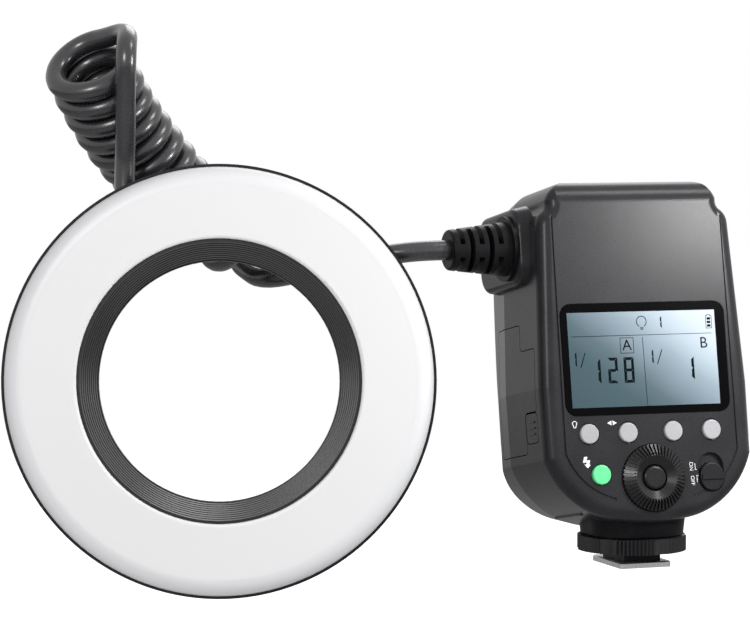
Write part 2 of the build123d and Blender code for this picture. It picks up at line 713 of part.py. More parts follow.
GLASS_FRONT = LCD_RECESS
with BuildPart() as lcd_panel:
    with BuildSketch(PANEL.offset(-GLASS_FRONT)):
        with Locations((0, LCD_UP)):
            Rectangle(SIGHT_WIDTH - 2 * SEAT_GAP, SIGHT_HEIGHT - 2 * SEAT_GAP)
    extrude(amount=-LCD_GLASS)
save(lcd_panel, "lcd_panel")

with BuildPart() as lcd_backlight:
    with BuildSketch(PANEL.offset(-(GLASS_FRONT + LCD_GLASS))):
        with Locations((0, LCD_UP)):
            Rectangle(SIGHT_WIDTH - 2 * BACKLIGHT_INSET, SIGHT_HEIGHT - 2 * BACKLIGHT_INSET)
    extrude(amount=-BACKLIGHT_THICK)
save(lcd_backlight, "lcd_backlight")

# Round buttons, each with a flange under the panel wall
FLANGE_FRONT = WALL + FLANGE_GAP
for name, across, up in [*[(name, across, BUTTON_UP) for name, across in BUTTON_PLACES.items()],
                         ("test_button", TEST_ACROSS, TEST_UP)]:
    with BuildPart() as button:
        with BuildSketch(PANEL.offset(BUTTON_RISE)):
            with Locations((across, up)):
                Circle(BUTTON_R)
        extrude(amount=-(BUTTON_RISE + FLANGE_FRONT))
        fillet(end_face(button, -1).edges(), BUTTON_ROUND)
        with BuildSketch(PANEL.offset(-FLANGE_FRONT)):
            with Locations((across, up)):
                Circle(FLANGE_R)
        extrude(amount=-FLANGE_THICK)
    save(button, name)

# Dial: a ribbed ring that slopes from its crest to its rim, with a clipped neck through the well's floor
DIAL_PLANE = Plane(origin=PANEL.origin + PANEL.y_dir * DIAL_UP, x_dir=PANEL.x_dir, z_dir=PANEL.z_dir)
DIAL_SECTION = Plane(origin=DIAL_PLANE.origin, x_dir=PANEL.x_dir, z_dir=-PANEL.y_dir)
DIAL_AXIS = Axis(DIAL_PLANE.origin, PANEL.z_dir)
DIAL_FOOT = -(DIAL_WELL - SLIDE_GAP)
CLIP_TOP = -(DIAL_WELL + DIAL_WELL_FLOOR + SLIDE_GAP)
RIB_SLOPE = (DIAL_CREST - DIAL_RIM_RISE) / (DIAL_R - DIAL_CREST_R)
with BuildPart() as dial:
    with BuildSketch(DIAL_SECTION):
        Polygon((DIAL_HOLE_R, CLIP_TOP - DIAL_CLIP), (DIAL_HOLE_R, DIAL_DISH_RISE),
                (DIAL_CREST_R - DIAL_CREST_FLAT, DIAL_CREST), (DIAL_CREST_R, DIAL_CREST),
                (DIAL_R, DIAL_RIM_RISE), (DIAL_R, DIAL_FOOT), (DIAL_NECK_R, DIAL_FOOT),
                (DIAL_NECK_R, CLIP_TOP), (DIAL_CLIP_R, CLIP_TOP), (DIAL_CLIP_R, CLIP_TOP - DIAL_CLIP),
                align=None)
    revolve(axis=DIAL_AXIS)
    with BuildSketch(DIAL_SECTION) as notch:
        Polygon((DIAL_CREST_R, DIAL_CREST), (DIAL_R + OVERRUN, DIAL_CREST - RIB_SLOPE * (DIAL_R + OVERRUN
                                                                                        - DIAL_CREST_R)),
                (DIAL_R + OVERRUN, DIAL_CREST), align=None)
        offset(amount=DIAL_NOTCH_DEPTH, kind=Kind.INTERSECTION, mode=Mode.REPLACE)
    notch_cutter = extrude(notch.sketch, amount=DIAL_NOTCH / 2, both=True, mode=Mode.PRIVATE)
    for rib in range(DIAL_RIBS):
        add(notch_cutter.rotate(DIAL_AXIS, rib * 360 / DIAL_RIBS), mode=Mode.SUBTRACT)
save(dial, "dial")

with BuildPart() as set_button:
    with BuildSketch(DIAL_PLANE.offset(CLIP_TOP)):
        Circle(SET_R)
    extrude(amount=SET_RISE - CLIP_TOP)
    fillet(end_face(set_button, -1).edges(), SET_ROUND)
save(set_button, "set_button")

# Sliding knob of the power switch, at rest at the lower end of its slot
KNOB_WIDTH = SWITCH_WIDTH - 2 * SLIDE_GAP
KNOB_HEIGHT = SWITCH_HEIGHT - 2 * SLIDE_GAP - SWITCH_TRAVEL
KNOB_UP = SWITCH_UP - SWITCH_TRAVEL / 2
KNOB_FOOT = SWITCH_POCKET - SLIDE_GAP
KNOB_CLIP_FRONT = SWITCH_POCKET + SWITCH_FLOOR + SLIDE_GAP
with BuildPart() as power_slider:
    with BuildSketch(PANEL.offset(KNOB_RISE)):
        with Locations((SWITCH_ACROSS, KNOB_UP)):
            SlotOverall(KNOB_HEIGHT, KNOB_WIDTH, rotation=90)
    extrude(amount=-(KNOB_RISE + KNOB_FOOT))
    fillet(end_face(power_slider, -1).edges(), BUTTON_ROUND)
    with BuildSketch(PANEL.offset(KNOB_RISE)):
        with Locations((SWITCH_ACROSS, KNOB_UP)):
            Rectangle(KNOB_WIDTH - 2 * BUTTON_ROUND, KNOB_BAR_HEIGHT)
    extrude(amount=KNOB_BAR)
    with BuildSketch(PANEL.offset(-KNOB_FOOT)):
        with Locations((SWITCH_ACROSS, KNOB_UP)):
            Rectangle(KNOB_STEM_WIDTH, KNOB_STEM_HEIGHT)
    extrude(amount=-(KNOB_CLIP_FRONT - KNOB_FOOT))
    with BuildSketch(PANEL.offset(-KNOB_CLIP_FRONT)):
        with Locations((SWITCH_ACROSS, KNOB_UP)):
            Rectangle(KNOB_STEM_WIDTH + 2 * KNOB_CLIP_EDGE, KNOB_STEM_HEIGHT)
    extrude(amount=-KNOB_CLIP)
save(power_slider, "power_slider")

# Control board with what the buttons, the dial and the knob act on
with BuildPart() as control_board:
    with BuildSketch(PANEL.offset(-CONTROL_DEPTH)):
        with Locations((0, (CONTROL_FOOT + CONTROL_TOP) / 2)):
            Rectangle(2 * CONTROL_HALF, CONTROL_TOP - CONTROL_FOOT)
        add(housing_outline(CONTROL_EDGE), mode=Mode.INTERSECT)
        with Locations((0, DIAL_UP)):
            Rectangle(ENCODER_SIZE + SEAT_GAP, ENCODER_SIZE + SEAT_GAP, mode=Mode.SUBTRACT)
    extrude(amount=-BOARD)
save(control_board, "control_board")

TACT_FRONT = FLANGE_FRONT + FLANGE_THICK + BUTTON_TRAVEL + TACT_GAP
with BuildPart() as tact_switches:
    with BuildSketch(PANEL.offset(-CONTROL_DEPTH)):
        with Locations(*[(across, BUTTON_UP) for across in BUTTON_PLACES.values()],
                       (TEST_ACROSS, TEST_UP)):
            Rectangle(TACT_SIZE, TACT_SIZE)
    extrude(amount=(CONTROL_DEPTH - TACT_FRONT) / 2)
    with BuildSketch(PANEL.offset(-CONTROL_DEPTH)):
        with Locations(*[(across, BUTTON_UP) for across in BUTTON_PLACES.values()],
                       (TEST_ACROSS, TEST_UP)):
            Circle(TACT_SIZE / 3)
    extrude(amount=CONTROL_DEPTH - TACT_FRONT)
save(tact_switches, "tact_switches")

ENCODER_TOP = CLIP_TOP - DIAL_CLIP - ENCODER_GAP
with BuildPart() as encoder:
    with BuildSketch(DIAL_PLANE.offset(ENCODER_TOP)):
        Rectangle(ENCODER_SIZE, ENCODER_SIZE)
        Circle(ENCODER_BORE_R, mode=Mode.SUBTRACT)
    extrude(amount=-(CONTROL_DEPTH + BOARD + ENCODER_TOP + ENCODER_BACK))
save(encoder, "encoder")

with BuildPart() as slide_switch:
    with BuildSketch(PANEL.offset(-CONTROL_DEPTH)):
        with Locations((SWITCH_ACROSS, SWITCH_UP)):
            Rectangle(SLIDE_SWITCH_WIDTH, SLIDE_SWITCH_HEIGHT)
    extrude(amount=CONTROL_DEPTH - KNOB_CLIP_FRONT - KNOB_CLIP - SLIDE_SWITCH_GAP)
save(slide_switch, "slide_switch")

# Main board with its capacitor, transformer and battery contacts
with BuildPart() as main_board:
    with BuildSketch(PANEL.offset(-MAIN_DEPTH)):
        with Locations((0, (MAIN_FOOT + MAIN_TOP) / 2)):
            Rectangle(2 * MAIN_HALF, MAIN_TOP - MAIN_FOOT)
    extrude(amount=-BOARD)
save(main_board, "main_board")

with BuildPart() as flash_capacitor:
    with BuildSketch(LEVEL.offset(CAPACITOR_FOOT)):
        with Locations((CAPACITOR_ACROSS, CAPACITOR_DEPTH)):
            Circle(CAPACITOR_R)
    extrude(amount=CAPACITOR_TOP - CAPACITOR_FOOT)
    fillet(flash_capacitor.edges().filter_by(GeomType.CIRCLE), CAPACITOR_ROUND)
save(flash_capacitor, "flash_capacitor")

TRANSFORMER_BACK = HOUSING_DEPTH - WALL
with BuildPart() as transformer:
    with BuildSketch(PANEL.offset(-TRANSFORMER_BACK)):
        with Locations((TRANSFORMER_ACROSS, TRANSFORMER_UP)):
            Rectangle(TRANSFORMER_SIZE, TRANSFORMER_SIZE)
    extrude(amount=TRANSFORMER_SIZE)
    with BuildSketch(PANEL.offset(-(TRANSFORMER_BACK - TRANSFORMER_FLANGE))):
        with Locations((TRANSFORMER_ACROSS, TRANSFORMER_UP)):
            Rectangle(TRANSFORMER_SIZE, TRANSFORMER_SIZE)
            Rectangle(TRANSFORMER_SIZE - 2 * TRANSFORMER_WAIST, TRANSFORMER_SIZE - 2 * TRANSFORMER_WAIST,
                      mode=Mode.SUBTRACT)
    extrude(amount=TRANSFORMER_SIZE - 2 * TRANSFORMER_FLANGE, mode=Mode.SUBTRACT)
save(transformer, "transformer")

# Battery pack: its body, its stepped end flush with the housing, and its latch
with BuildPart() as battery_pack:
    with BuildSketch(SIDE.offset(-(HOUSING_HALF + OVERRUN))):
        add(door_outline(SLIDE_GAP))
    extrude(amount=OVERRUN + DOOR_THICK)
    add(case_form.part, mode=Mode.INTERSECT)
    with BuildSketch(SIDE.offset(-(HOUSING_HALF - DOOR_THICK))):
        add(door_outline(PACK_INSET))
        with Locations((PACK_FRONT, 0)):
            Rectangle(HOUSING_DEPTH, HOUSING_TOP, align=(Align.MIN, Align.MIN), mode=Mode.INTERSECT)
    extrude(amount=HOUSING_HALF - DOOR_THICK + PACK_END)
save(battery_pack, "battery_pack")

with BuildPart() as battery_latch:
    with BuildSketch(SIDE.offset(-(HOUSING_HALF + OVERRUN))):
        add(latch_outline(SLIDE_GAP))
    extrude(amount=OVERRUN + LATCH_THICK)
    add(case_form.part, mode=Mode.INTERSECT)
    with BuildSketch(SIDE.offset(-(HOUSING_HALF - LATCH_THICK))):
        with Locations(*[((DOOR_FRONT + DOOR_LATCH_BACK) / 2,
                          (LATCH_FOOT + DOOR_LATCH_TOP) / 2 + (index - (LATCH_RIDGES - 1) / 2)
                          * 4 * LATCH_RIDGE) for index in range(LATCH_RIDGES)]):
            Rectangle((DOOR_LATCH_BACK - DOOR_FRONT) / 2, LATCH_RIDGE)
    extrude(amount=-(LATCH_THICK + LATCH_RIDGE / 2))
save(battery_latch, "battery_latch")

with BuildPart() as battery_contacts:
    with BuildSketch(SIDE.offset(PACK_END + CONTACT_GAP)):
        with Locations((MAIN_DEPTH + BOARD, CONTACT_FOOT)):
            Rectangle(CONTACT_BACK - MAIN_DEPTH - BOARD, CONTACT_TOP - CONTACT_FOOT,
                      align=(Align.MIN, Align.MIN))
    extrude(amount=CONTACT_THICK)
    with BuildSketch(SIDE.offset(PACK_END + CONTACT_GAP)):
        with Locations(*[((MAIN_DEPTH + BOARD + CONTACT_BACK) / 2,
                          (CONTACT_FOOT + CONTACT_TOP) / 2 + (index - (CONTACT_BLADES - 1) / 2)
                          * CONTACT_STEP) for index in range(CONTACT_BLADES)]):
            Rectangle((CONTACT_BACK - MAIN_DEPTH) / 2, CONTACT_BLADE, mode=Mode.ADD)
    extrude(amount=CONTACT_THICK + CONTACT_BLADE)
save(battery_contacts, "battery_contacts")

# Cable boot: a slotted taper with bridges that alternate, on a solid core, and the clamp behind it
BOOT_X = Axis((0, PANEL_Y + CABLE_UP * LEAN_SIN + CABLE_DEPTH * LEAN_COS,
               CABLE_UP * LEAN_COS - CABLE_DEPTH * LEAN_SIN), (-1, 0, 0))
BOOT_SECTION = Plane(origin=BOOT_X.position, x_dir=(-1, 0, 0), z_dir=(0, 1, 0))
BOOT_START = FAIRING_OUT + BOOT_FLANGE
NECK_START = CLAMP_OUT
with BuildPart() as cable_boot:
    with BuildSketch(BOOT_SECTION):
        Polygon((NECK_START, 0), (NECK_START, BOOT_NECK_R), (FAIRING_OUT, BOOT_NECK_R),
                (FAIRING_OUT, BOOT_FLANGE_R), (BOOT_START, BOOT_FLANGE_R), (BOOT_START, BOOT_BASE_R),
                (BOOT_TIP, BOOT_TIP_R), (BOOT_TIP, 0), align=None)
    revolve(axis=BOOT_X)
    fillet(cable_boot.faces().sort_by(Axis.X)[0].edges(), BOOT_ROUND)
    for slot in range(BOOT_SLOTS):
        reach = BOOT_START + BOOT_SLOT_START + slot * BOOT_SLOT_STEP
        with BuildSketch(Plane(origin=BOOT_X.position + Vector(-reach, 0, 0), x_dir=(0, 0, 1),
                               z_dir=(-1, 0, 0))) as ring:
            Circle(BOOT_FLANGE_R)
            Circle(BOOT_CORE_R, mode=Mode.SUBTRACT)
            Rectangle(BOOT_WEB, 2 * BOOT_FLANGE_R, rotation=90 * (slot % 2), mode=Mode.SUBTRACT)
        extrude(amount=BOOT_SLOT, mode=Mode.SUBTRACT)
save(cable_boot, "cable_boot")

with BuildPart() as cable_clamp:
    with BuildSketch(Plane(origin=BOOT_X.position + Vector(-NECK_START, 0, 0), x_dir=(0, 0, 1),
                           z_dir=(1, 0, 0))):
        Circle(CLAMP_R)
        Circle(CORD_R, mode=Mode.SUBTRACT)
    extrude(amount=CLAMP_THICK)
save(cable_clamp, "cable_clamp")

# Ports and their cover on the right side
with BuildPart() as sync_jack:
    with BuildSketch(SIDE.offset(HOUSING_HALF - PORT_RECESS - PORT_FIT)):
        with Locations((PORT_DEPTH, JACK_UP)):
            Circle(JACK_BODY_R)
            Circle(JACK_R, mode=Mode.SUBTRACT)
    extrude(amount=-JACK_LENGTH)
    with BuildSketch(SIDE.offset(HOUSING_HALF - PORT_RECESS - PORT_FIT - JACK_LENGTH)):
        with Locations((PORT_DEPTH, JACK_UP)):
            Circle(JACK_BODY_R)
    extrude(amount=-WALL / 2)
save(sync_jack, "sync_jack")

with BuildPart() as usb_port:
    with BuildSketch(SIDE.offset(HOUSING_HALF - PORT_RECESS - PORT_FIT)):
        with Locations((PORT_DEPTH, USB_UP)):
            RectangleRounded(USB_WIDTH, USB_HEIGHT, USB_WIDTH / 3)
    extrude(amount=-JACK_LENGTH)
    with BuildSketch(SIDE.offset(HOUSING_HALF - PORT_RECESS - PORT_FIT)):
        with Locations((PORT_DEPTH, USB_UP)):
            RectangleRounded(USB_WIDTH - 2 * USB_SHELL, USB_HEIGHT - 2 * USB_SHELL,
                             USB_WIDTH / 3 - USB_SHELL)
    extrude(amount=-(JACK_LENGTH - WALL / 2), mode=Mode.SUBTRACT)
    with BuildSketch(SIDE.offset(HOUSING_HALF - PORT_RECESS - PORT_FIT - JACK_LENGTH)):
        with Locations((PORT_DEPTH, USB_UP)):
            Rectangle(USB_SHELL, USB_HEIGHT / 2)
    extrude(amount=JACK_LENGTH - WALL / 2)
save(usb_port, "usb_port")

with BuildPart() as port_cover:
    with BuildSketch(SIDE.offset(HOUSING_HALF + PORT_FIT)):
        with Locations((PORT_DEPTH, PORT_UP)):
            RectangleRounded(PORT_WIDTH - 2 * SLIDE_GAP, PORT_HEIGHT - 2 * SLIDE_GAP,
                             PORT_CORNER - SLIDE_GAP)
    extrude(amount=-PORT_COVER)
save(port_cover, "port_cover")

# Shoe foot
with BuildPart() as foot_plate:
    with BuildSketch(Plane.XY):
        RectangleRounded(FOOT_WIDTH, FOOT_LENGTH, FOOT_CORNER)
        with Locations((0, PIN_Y)):
            Circle(PIN_R + SLIDE_GAP, mode=Mode.SUBTRACT)
    extrude(amount=FOOT_THICK)
    chamfer(foot_plate.faces().sort_by(Axis.Z)[-1].outer_wire().edges(), FOOT_BEVEL)
    with BuildSketch(Plane.XY):
        Circle(CENTRE_CONTACT_R + SEAT_GAP)
        with Locations(*[(side * SIDE_CONTACT_ACROSS, back) for side in (-1, 1)
                         for back in (SIDE_CONTACT_FRONT, SIDE_CONTACT_BACK)]):
            Circle(SIDE_CONTACT_R + SEAT_GAP)
    extrude(amount=CONTACT_DEEP, mode=Mode.SUBTRACT)
save(foot_plate, "foot_plate")

with BuildPart() as shoe_contacts:
    with BuildSketch(Plane.XY.offset(CONTACT_SINK)):
        Circle(CENTRE_CONTACT_R)
        with Locations(*[(side * SIDE_CONTACT_ACROSS, back) for side in (-1, 1)
                         for back in (SIDE_CONTACT_FRONT, SIDE_CONTACT_BACK)]):
            Circle(SIDE_CONTACT_R)
    extrude(amount=CONTACT_DEEP - CONTACT_SINK)
save(shoe_contacts, "shoe_contacts")

with BuildPart() as shoe_block:
    with BuildSketch(Plane.XY.offset(FOOT_THICK)):
        Rectangle(BLOCK_WIDTH, BLOCK_LENGTH)
    extrude(amount=BLOCK_TOP - FOOT_THICK)
    with BuildSketch(Plane.XY.offset(FOOT_THICK)):
        Circle(STEM_R)
    extrude(amount=POST_TOP - FOOT_THICK)
    with BuildSketch(Plane.XY):
        with Locations((0, PIN_Y)):
            Circle(PIN_R + SLIDE_GAP)
    extrude(amount=PIN_CLEAR + PIN_LENGTH + SLIDE_GAP, mode=Mode.SUBTRACT)
save(shoe_block, "shoe_block")

with BuildPart() as lock_pin:
    with BuildSketch(Plane.XY.offset(PIN_CLEAR)):
        with Locations((0, PIN_Y)):
            Circle(PIN_R)
    extrude(amount=PIN_LENGTH)
    fillet(lock_pin.faces().sort_by(Axis.Z)[0].edges(), PIN_R / 3)
save(lock_pin, "lock_pin")

# Lock wheel: sectors of ribs between smooth finger scallops
SECTOR = 360 / WHEEL_SECTORS
RIB_STEP = WHEEL_RIB_SPAN / WHEEL_RIBS
with BuildPart() as lock_wheel:
    with BuildSketch(Plane.XY.offset(BLOCK_TOP + WHEEL_GAP)):
        Circle(WHEEL_R)
        Circle(STEM_R + WHEEL_GAP, mode=Mode.SUBTRACT)
        with PolarLocations(WHEEL_R + WHEEL_SCALLOP_R - WHEEL_SCALLOP_SINK, WHEEL_SECTORS,
                            start_angle=WHEEL_TURN + SECTOR / 2):
            Circle(WHEEL_SCALLOP_R, mode=Mode.SUBTRACT)
        for sector in range(WHEEL_SECTORS):
            for rib in range(WHEEL_RIBS + 1):
                turn = WHEEL_TURN + sector * SECTOR + (rib - WHEEL_RIBS / 2) * RIB_STEP
                with Locations((WHEEL_R * cos(radians(turn)), WHEEL_R * sin(radians(turn)))):
                    Rectangle(WHEEL_NOTCH, WHEEL_NOTCH, rotation=turn + 45, mode=Mode.SUBTRACT)
    extrude(amount=POST_TOP - WHEEL_GAP - BLOCK_TOP - WHEEL_GAP)
save(lock_wheel, "lock_wheel")

with BuildPart() as shoe_collar:
    with BuildSketch(Plane.XY.offset(POST_TOP)):
        RectangleRounded(COLLAR_WIDTH, COLLAR_LENGTH, COLLAR_CORNER)
    extrude(amount=COLLAR_HEIGHT, taper=COLLAR_TAPER)
    fillet(shoe_collar.faces().sort_by(Axis.Z)[0].edges(), COLLAR_ROUND)
    add(case_form.part, mode=Mode.SUBTRACT)
print("shoe_collar solids", len(shoe_collar.part.solids()))
save(shoe_collar, "shoe_collar")

# Frame of the ring head: its axis leans up and to the left of the controller's
YAW_SIN = sin(radians(RING_YAW))
YAW_COS = cos(radians(RING_YAW))
TILT_SIN = sin(radians(RING_TILT))
TILT_COS = cos(radians(RING_TILT))
RING_CENTRE = Vector(RING_ACROSS, RING_BACK, RING_HEIGHT)
RING_Z = Vector(-TILT_COS * YAW_SIN, -TILT_COS * YAW_COS, TILT_SIN)
RING_X = Vector(YAW_COS, -YAW_SIN, 0)
RING_Y = RING_Z.cross(RING_X)
RING_AXIS = Axis(RING_CENTRE, RING_Z)
RING = Plane(origin=RING_CENTRE, x_dir=RING_X, z_dir=RING_Z)


def ring_section(angle):
    """A plane through the ring's axis: local x is the radius and local y the level along the axis."""
    turn = radians(angle)
    outward = RING_X * cos(turn) + RING_Y * sin(turn)
    across = RING_Y * cos(turn) - RING_X * sin(turn)
    return Plane(origin=RING_CENTRE, x_dir=outward, z_dir=-across)


LIP_R = DIFFUSER_R + DIFFUSER_GAP
RING_R = LIP_R + RING_LIP
RING_SHELF_R = LIP_R - RING_SHELF_REACH
RING_STEP_R = RING_R - RING_STEP_IN
RING_BODY_R = RING_STEP_R - RING_BODY_IN
TRAY_INNER_R = BAND_R + DIFFUSER_GAP + DIFFUSER_WALL + TRAY_INNER_GAP
TRAY_FLOOR_INNER_R = TRAY_INNER_R + TRAY_FLARE
TRAY_OUTER_R = RING_SHELF_R - TRAY_OUTER_GAP
TRAY_FLOOR_OUTER_R = TRAY_OUTER_R - TRAY_FLARE
TUBE_AT_R = TRAY_FLOOR_OUTER_R - TUBE_IN
LAMP_IN_R = TRAY_FLOOR_INNER_R + LAMP_BOARD_GAP
LAMP_OUT_R = LAMP_IN_R + LAMP_BOARD_WIDTH
LATCH_OUT_R = RING_BODY_R + LATCH_PROUD
LATCH_IN_R = LATCH_OUT_R - LATCH_DEEP
GLAND_TIP = RING_BODY_R + GLAND_PROUD
GLAND_ROOT = GLAND_TIP - GLAND_DEEP

# Housing of the ring head, open to the front
with BuildPart() as ring_form:
    with BuildSketch(ring_section(0)):
        Polygon((0, -RING_RIM_TOP), (RING_R, -RING_RIM_TOP), (RING_R, -RING_RIM_FOOT),
                (RING_STEP_R, -RING_STEP_TOP), (RING_BODY_R + WALL / 2, -RING_BODY_TOP),
                (RING_BODY_R, -RING_DEPTH), (0, -RING_DEPTH), align=None)
    revolve(axis=RING_AXIS)

RING_POSTS = [(RING_POST_AT_R * cos(radians(angle)), RING_POST_AT_R * sin(radians(angle)))
              for angle in range(RING_POST_START, RING_POST_START + 360, 360 // RING_POSTS_COUNT)]
RING_FLOOR = RING_DEPTH - RING_WALL
with BuildPart() as ring_housing:
    with BuildSketch(ring_section(0)):
        Polygon((LIP_R, -RING_RIM_TOP), (RING_R, -RING_RIM_TOP), (RING_R, -RING_RIM_FOOT),
                (RING_STEP_R, -RING_STEP_TOP), (RING_BODY_R + WALL / 2, -RING_BODY_TOP),
                (RING_BODY_R, -RING_DEPTH), (BORE_R, -RING_DEPTH), (BORE_R, -BORE_TOP),
                (BORE_R + RING_WALL, -BORE_TOP), (BORE_R + RING_WALL, -RING_FLOOR),
                (RING_BODY_R - RING_WALL, -RING_FLOOR), (RING_BODY_R - WALL / 2, -RING_BODY_TOP + WALL / 2),
                (RING_STEP_R - WALL / 2, -RING_STEP_TOP + WALL / 2 + DIFFUSER_GAP),
                (RING_SHELF_R, -RING_RIM_FOOT + WALL / 2),
                (RING_SHELF_R, -RING_SHELF), (LIP_R, -RING_SHELF), align=None)
    revolve(axis=RING_AXIS)
    with BuildSketch(RING.offset(-RING_FLOOR)):
        with Locations(*RING_POSTS):
            Circle(RING_POST_R)
    extrude(amount=RING_FLOOR - TRAY_FLOOR - TRAY_WALL)
    with BuildSketch(RING.offset(-RING_DEPTH)):
        with Locations(*RING_POSTS):
            Circle(RING_SCREW_HEAD_R + SCREW_GAP)
    extrude(amount=RING_SCREW_HEAD, mode=Mode.SUBTRACT)
    with BuildSketch(RING.offset(-RING_DEPTH)):
        with Locations(*RING_POSTS):
            Circle(RING_SCREW_R + SCREW_GAP)
    extrude(amount=RING_DEPTH - TRAY_FLOOR - TRAY_WALL - WALL / 2, mode=Mode.SUBTRACT)
    # Windows of the two side latches
    with BuildSketch(RING.offset(-(LATCH_LEVEL_FOOT + SLIDE_GAP))):
        Rectangle(2 * (LATCH_OUT_R + OVERRUN), LATCH_WIDTH + 2 * SLIDE_GAP)
        Rectangle(2 * LATCH_IN_R, LATCH_WIDTH + 4 * SLIDE_GAP, mode=Mode.SUBTRACT)
    extrude(amount=LATCH_LEVEL_FOOT - LATCH_LEVEL_TOP + 2 * SLIDE_GAP, mode=Mode.SUBTRACT)
save(ring_housing, "ring_housing")

for name, side in (("ring_latch_left", -1), ("ring_latch_right", 1)):
    with BuildPart() as ring_latch:
        with BuildSketch(RING.offset(-LATCH_LEVEL_FOOT)):
            with Locations((side * (LATCH_IN_R + LATCH_OUT_R) / 2, 0)):
                Rectangle(LATCH_OUT_R - LATCH_IN_R, LATCH_WIDTH)
        extrude(amount=LATCH_LEVEL_FOOT - LATCH_LEVEL_TOP)
        outer_edges = ring_latch.faces().sort_by(Axis(RING_CENTRE, RING_X * side))[-1].edges()
        fillet(outer_edges, BUTTON_ROUND)
    save(ring_latch, name)

# Opal diffuser: a flat ring with a rounded outer edge and an inner wall round the baffle
with BuildPart() as ring_diffuser:
    with BuildSketch(ring_section(0)):
        with BuildLine():
            inner = BAND_R + DIFFUSER_GAP
            FilletPolyline((inner, -DIFFUSER_INNER_DEPTH), (inner, 0), (DIFFUSER_R, 0),
                           (DIFFUSER_R, -RING_SHELF), radius=[DIFFUSER_INNER_ROUND, DIFFUSER_EDGE])
            Line((DIFFUSER_R, -RING_SHELF), (DIFFUSER_R - DIFFUSER_WALL, -RING_SHELF))
            FilletPolyline((DIFFUSER_R - DIFFUSER_WALL, -RING_SHELF),
                           (DIFFUSER_R - DIFFUSER_WALL, -DIFFUSER_WALL),
                           (inner + DIFFUSER_WALL, -DIFFUSER_WALL),
                           (inner + DIFFUSER_WALL, -DIFFUSER_INNER_DEPTH),
                           radius=[DIFFUSER_EDGE - DIFFUSER_WALL, DIFFUSER_INNER_ROUND / 2])
            Line((inner + DIFFUSER_WALL, -DIFFUSER_INNER_DEPTH), (inner, -DIFFUSER_INNER_DEPTH))
        make_face()
    revolve(axis=RING_AXIS)
save(ring_diffuser, "ring_diffuser")

# Dark baffle: a cone with fine grooves inside
BAFFLE_TOP_R = BAND_R - BAFFLE_WALL
BAFFLE_FOOT_R = BORE_R + SEAT_GAP
groove_shares = [(0.0, 0.0), (0.55, 0.0), (0.6, 1.0), (0.95, 1.0)]
with BuildPart() as ring_baffle:
    with BuildSketch(ring_section(0)):
        groove_points = []
        for groove in range(BAFFLE_GROOVES):
            for part_share, cut in groove_shares:
                share = (groove + part_share) / BAFFLE_GROOVES
                radius = BAFFLE_TOP_R + share * (BAFFLE_FOOT_R - BAFFLE_TOP_R)
                level = -BAND_SINK - share * (BORE_TOP - BAND_SINK)
                groove_points.append((radius + cut * BAFFLE_GROOVE, level))
        Polygon((BAND_R, -BAND_SINK - BAFFLE_WALL), (BAND_R, -BAND_SINK), *groove_points,
                (BAFFLE_FOOT_R, -BORE_TOP), (BAFFLE_FOOT_R + BAFFLE_WALL + BAFFLE_GROOVE, -BORE_TOP),
                align=None)
    revolve(axis=RING_AXIS)
save(ring_baffle, "ring_baffle")

# Reflector tray, flash tubes, focusing lamps and board
with BuildPart() as ring_reflector:
    with BuildSketch(ring_section(0)):
        Polygon((TRAY_INNER_R, -TRAY_TOP), (TRAY_INNER_R + TRAY_WALL, -TRAY_TOP),
                (TRAY_FLOOR_INNER_R, -TRAY_FLOOR), (TRAY_FLOOR_OUTER_R, -TRAY_FLOOR),
                (TRAY_OUTER_R - TRAY_WALL, -TRAY_TOP), (TRAY_OUTER_R, -TRAY_TOP),
                (TRAY_FLOOR_OUTER_R + TRAY_WALL / 2, -TRAY_FLOOR - TRAY_WALL),
                (TRAY_FLOOR_INNER_R - TRAY_WALL / 2, -TRAY_FLOOR - TRAY_WALL), align=None)
    revolve(axis=RING_AXIS)
save(ring_reflector, "ring_reflector")

TUBE_LEVEL = -(TRAY_FLOOR - TUBE_GAP - TUBE_CAP - TUBE_R)
for name, start in (("flash_tube_right", -TUBE_SPAN / 2), ("flash_tube_left", 180 - TUBE_SPAN / 2)):
    with BuildPart() as flash_tube:
        with BuildSketch(ring_section(start)):
            with Locations((TUBE_AT_R, TUBE_LEVEL)):
                Circle(TUBE_R)
        revolve(axis=RING_AXIS, revolution_arc=TUBE_SPAN)
        for cap_start in (start, start + TUBE_SPAN - TUBE_CAP_SPAN):
            with BuildSketch(ring_section(cap_start)) as cap:
                with Locations((TUBE_AT_R, TUBE_LEVEL)):
                    Circle(TUBE_R + TUBE_CAP)
            revolve(axis=RING_AXIS, revolution_arc=TUBE_CAP_SPAN)
    print(name, "volume", round(flash_tube.part.volume), "solids", len(flash_tube.part.solids()))
    save(flash_tube, name)

with BuildPart() as lamp_board:
    with BuildSketch(RING.offset(-TRAY_FLOOR)):
        Circle(LAMP_OUT_R)
        Circle(LAMP_IN_R, mode=Mode.SUBTRACT)
    extrude(amount=LAMP_BOARD)
save(lamp_board, "lamp_board")

with BuildPart() as focus_lamps:
    with BuildSketch(RING.offset(-TRAY_FLOOR + LAMP_BOARD)):
        with PolarLocations((LAMP_IN_R + LAMP_OUT_R) / 2, LAMPS, start_angle=LAMP_START):
            Circle(LAMP_R)
    extrude(amount=LAMP_RISE)
save(focus_lamps, "focus_lamps")

with BuildPart() as ring_board:
    with BuildSketch(RING.offset(-RING_FLOOR)):
        Circle(RING_BOARD_OUT_R)
        Circle(RING_BOARD_IN_R, mode=Mode.SUBTRACT)
    extrude(amount=RING_BOARD)
save(ring_board, "ring_board")

